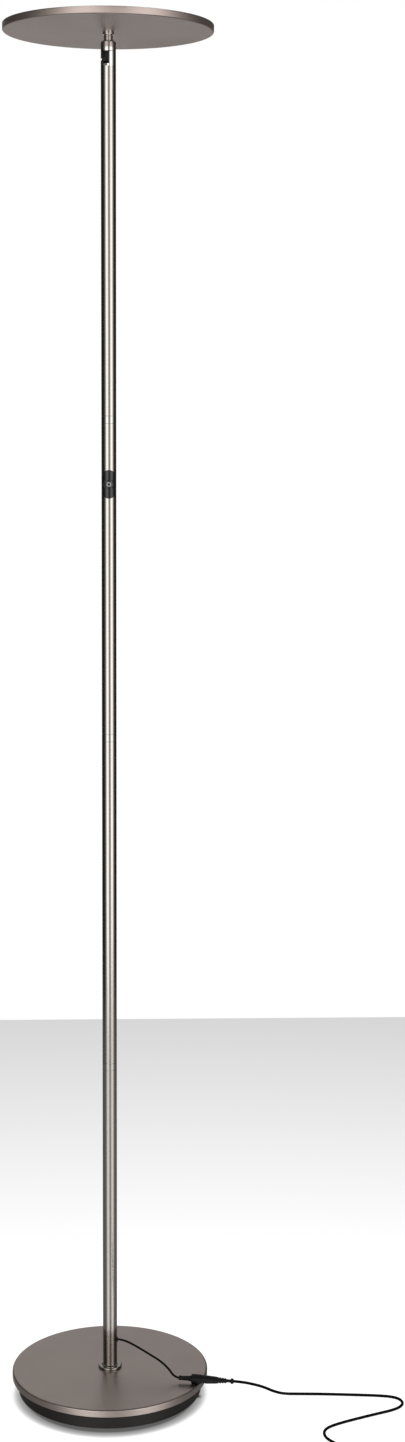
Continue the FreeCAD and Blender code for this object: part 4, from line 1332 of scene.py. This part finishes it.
@dataclass
class Studio:
    """Pale floor, soft surroundings, a lamp overhead and the camera.

    The surroundings are set by bearing, in degrees from the front, and by how steeply a
    reflection looks up. Each pair of `around`, `overhead` and `floor_shadow` is a place and
    its brightness. `floor_shadow` is a painted shadow: a darker ring in the floor's colour
    round the base.
    """

    floor_size: float = 3.2
    floor_roughness: float = 0.9
    floor_card: float = 0.33
    floor_gap: float = 0.5
    # Painted shadow: the floor's brightness by distance from floor_shadow_place, dark under the
    # base.
    floor_shadow: Stops = ((0.0, 0.06), (0.102, 0.1), (0.105, 0.25), (0.111, 0.36), (0.115, 0.6),
                           (0.119, 0.9))
    floor_shadow_place: Point = (0.0, -0.013, 0.0)
    backdrop: float = 1.0
    fill: float = 0.3
    turn: float = math.radians(8)
    around: Stops = ((0, 0.4), (9, 0.5), (19, 2.0), (27, 3.0), (48, 2.4), (58, 0.7), (72, 0.2),
                     (90, 0.03), (155, 0.03), (168, 0.56), (180, 0.56))
    overhead: Stops = ((0, 0.05), (95, 0.05), (125, 0.62), (180, 0.62))
    lift: Stops = ((0.0, 0.0), (0.42, 0.0), (0.56, 1.0))
    key_place: Point = (0.1, -2.2, 3.0)
    key_aim: Point = (0.0, 0.0, 0.2)
    key_size: float = 0.45
    key_power: float = 175.0
    blockers: tuple[str, ...] = ("base", "plug", "adapter")
    camera_place: Point = (0.0, -2.4841, 1.1796)
    yaw: float = 0.04365
    pitch: float = -0.14395
    roll: float = 0.0049
    lens: float = 53.884
    sensor: float = 36.0

    def build(self) -> None:
        """Sets up the floor, the light and the camera."""
        bpy.context.scene.view_settings.view_transform = "Standard"
        self.floor()
        self.surroundings()
        self.key()
        self.camera()

    def floor(self) -> None:
        """The pale floor, with a painted shadow round the base: a darker ring in its colour that
        no lamp casts.

        Reflections see it as a darker card without the painted shadow, and partly through it.
        """
        mesh = bmesh.new()
        bmesh.ops.create_grid(mesh, x_segments=1, y_segments=1, size=self.floor_size / 2)
        data = bpy.data.meshes.new("floor")
        mesh.to_mesh(data)
        mesh.free()
        item = bpy.data.objects.new("floor", data)
        bpy.context.scene.collection.objects.link(item)
        material = bpy.data.materials.new("floor")
        material.use_nodes = True
        tree = material.node_tree
        shader = tree.nodes["Principled BSDF"]
        mirrored = wired(tree, "LightPath").outputs["Is Glossy Ray"]
        place = wired(tree, "TexCoord").outputs["Object"]
        # Painted shadow round the base, read from the distance to floor_shadow_place.
        away = wired(tree, "VectorMath", place, self.floor_shadow_place, operation="DISTANCE")
        painted_shadow = self._ramp(tree, away.outputs["Value"], self.floor_shadow)
        tone = mixed(tree, mirrored, painted_shadow, (*[self.floor_card] * 3, 1.0))
        tree.links.new(tone, shader.inputs["Base Color"])
        shader.inputs["Roughness"].default_value = self.floor_roughness
        shader.inputs["Specular IOR Level"].default_value = 0.0
        veil = reckoned(tree, "MULTIPLY", mirrored, self.floor_gap)
        clear = wired(tree, "BsdfTransparent").outputs[0]
        gap = wired(tree, "MixShader", veil, shader.outputs[0], clear)
        tree.links.new(gap.outputs[0], tree.nodes["Material Output"].inputs[0])
        data.materials.append(material)

    def surroundings(self) -> None:
        """A white backdrop, an even grey fill, and bright and dark stretches that metal mirrors."""
        world = bpy.data.worlds.new("studio")
        bpy.context.scene.world = world
        world.use_nodes = True
        world.cycles.sampling_method = "NONE"
        tree = world.node_tree
        tree.nodes.clear()
        direction = wired(tree, "TexCoord").outputs["Generated"]
        side, depth, height = wired(tree, "SeparateXYZ", direction).outputs
        bearing = reckoned(tree, "ARCTAN2", side, reckoned(tree, "MULTIPLY", depth, -1.0))
        bearing = reckoned(tree, "ABSOLUTE", reckoned(tree, "SUBTRACT", bearing, self.turn))
        azimuth = reckoned(tree, "DIVIDE", bearing, math.pi)
        band = self._ramp(tree, azimuth, [(angle / 180, tone) for angle, tone in self.around])
        above = self._ramp(tree, azimuth, [(angle / 180, tone) for angle, tone in self.overhead])
        mirrored = wired(tree, "Background", mixed(tree, self._ramp(tree, height, self.lift), band,
                                                   above))
        path = wired(tree, "LightPath").outputs
        lit = wired(tree, "MixShader", path["Is Diffuse Ray"], mirrored.outputs[0],
                    self._plain(tree, self.fill))
        shown = wired(tree, "MixShader", path["Is Camera Ray"], lit.outputs[0],
                      self._plain(tree, self.backdrop))
        wired(tree, "OutputWorld", shown.outputs[0])

    def _plain(self, tree: NodeTree, tone: float) -> NodeSocket:
        """An even grey background of the given brightness."""
        return wired(tree, "Background", (tone, tone, tone, 1.0)).outputs[0]

    def _ramp(self, tree: NodeTree, factor: NodeSocket, stops: Stops) -> NodeSocket:
        """Adds a grey ramp.

        Args:
            tree: The nodes that it joins.
            factor: What it reads.
            stops: Places from 0 to 1 and their brightness.

        Returns:
            Its colour.
        """
        ramp = wired(tree, "ValToRGB", factor)
        elements = ramp.color_ramp.elements
        while len(elements) < len(stops):
            elements.new(1.0)
        for element, (place, tone) in zip(elements, stops):
            element.position = place
            element.color = (tone, tone, tone, 1.0)
        return ramp.outputs["Color"]

    def key(self) -> None:
        """The lamp overhead, in front of the object.

        It is set up before the pieces are made, so its blockers are the frame's own solids,
        and of those only the ones that stay in view stop its light. The pieces made here
        throw no shadow from it.
        """
        light = bpy.data.lights.new("overhead", "AREA")
        light.shape = "DISK"
        light.size = self.key_size
        light.energy = self.key_power
        item = bpy.data.objects.new("overhead", light)
        item.location = self.key_place
        aim = Vector(self.key_aim) - Vector(self.key_place)
        item.rotation_euler = aim.to_track_quat("-Z", "Y").to_euler()
        item.visible_camera = False
        item.visible_glossy = False
        blockers = bpy.data.collections.new("shadow_casters")
        for other in bpy.context.scene.objects:
            if other.type == "MESH" and other.name.startswith(self.blockers):
                blockers.objects.link(other)
        item.light_linking.blocker_collection = blockers
        bpy.context.scene.collection.objects.link(item)

    def camera(self) -> None:
        """The camera, a little turned, tipped down and rolled."""
        data = bpy.data.cameras.new("camera")
        data.lens = self.lens
        data.sensor_width = self.sensor
        data.clip_end = 50.0
        item = bpy.data.objects.new("camera", data)
        right = Vector((math.cos(self.yaw), -math.sin(self.yaw), 0.0))
        ahead = Vector((math.sin(self.yaw) * math.cos(self.pitch),
                        math.cos(self.yaw) * math.cos(self.pitch), math.sin(self.pitch)))
        above = right.cross(ahead)
        level_right = right * math.cos(self.roll) + above * math.sin(self.roll)
        level_up = above * math.cos(self.roll) - right * math.sin(self.roll)
        axes = Matrix((level_right, level_up, -ahead)).transposed().to_4x4()
        item.matrix_world = Matrix.Translation(self.camera_place) @ axes
        bpy.context.scene.collection.objects.link(item)
        bpy.context.scene.camera = item


def main() -> None:
    """Builds the lamp and its studio, and reports each piece."""
    logging.basicConfig(level=logging.INFO, format="%(name)s: %(message)s", stream=sys.stdout)
    Studio().build()
    Cords().build()
    Base().build()
    Pole().build()
    Switch().build()
    TiltJoint().build()
    Head().build()
    dress_hidden_pieces()


if __name__ == "__main__":
    main()
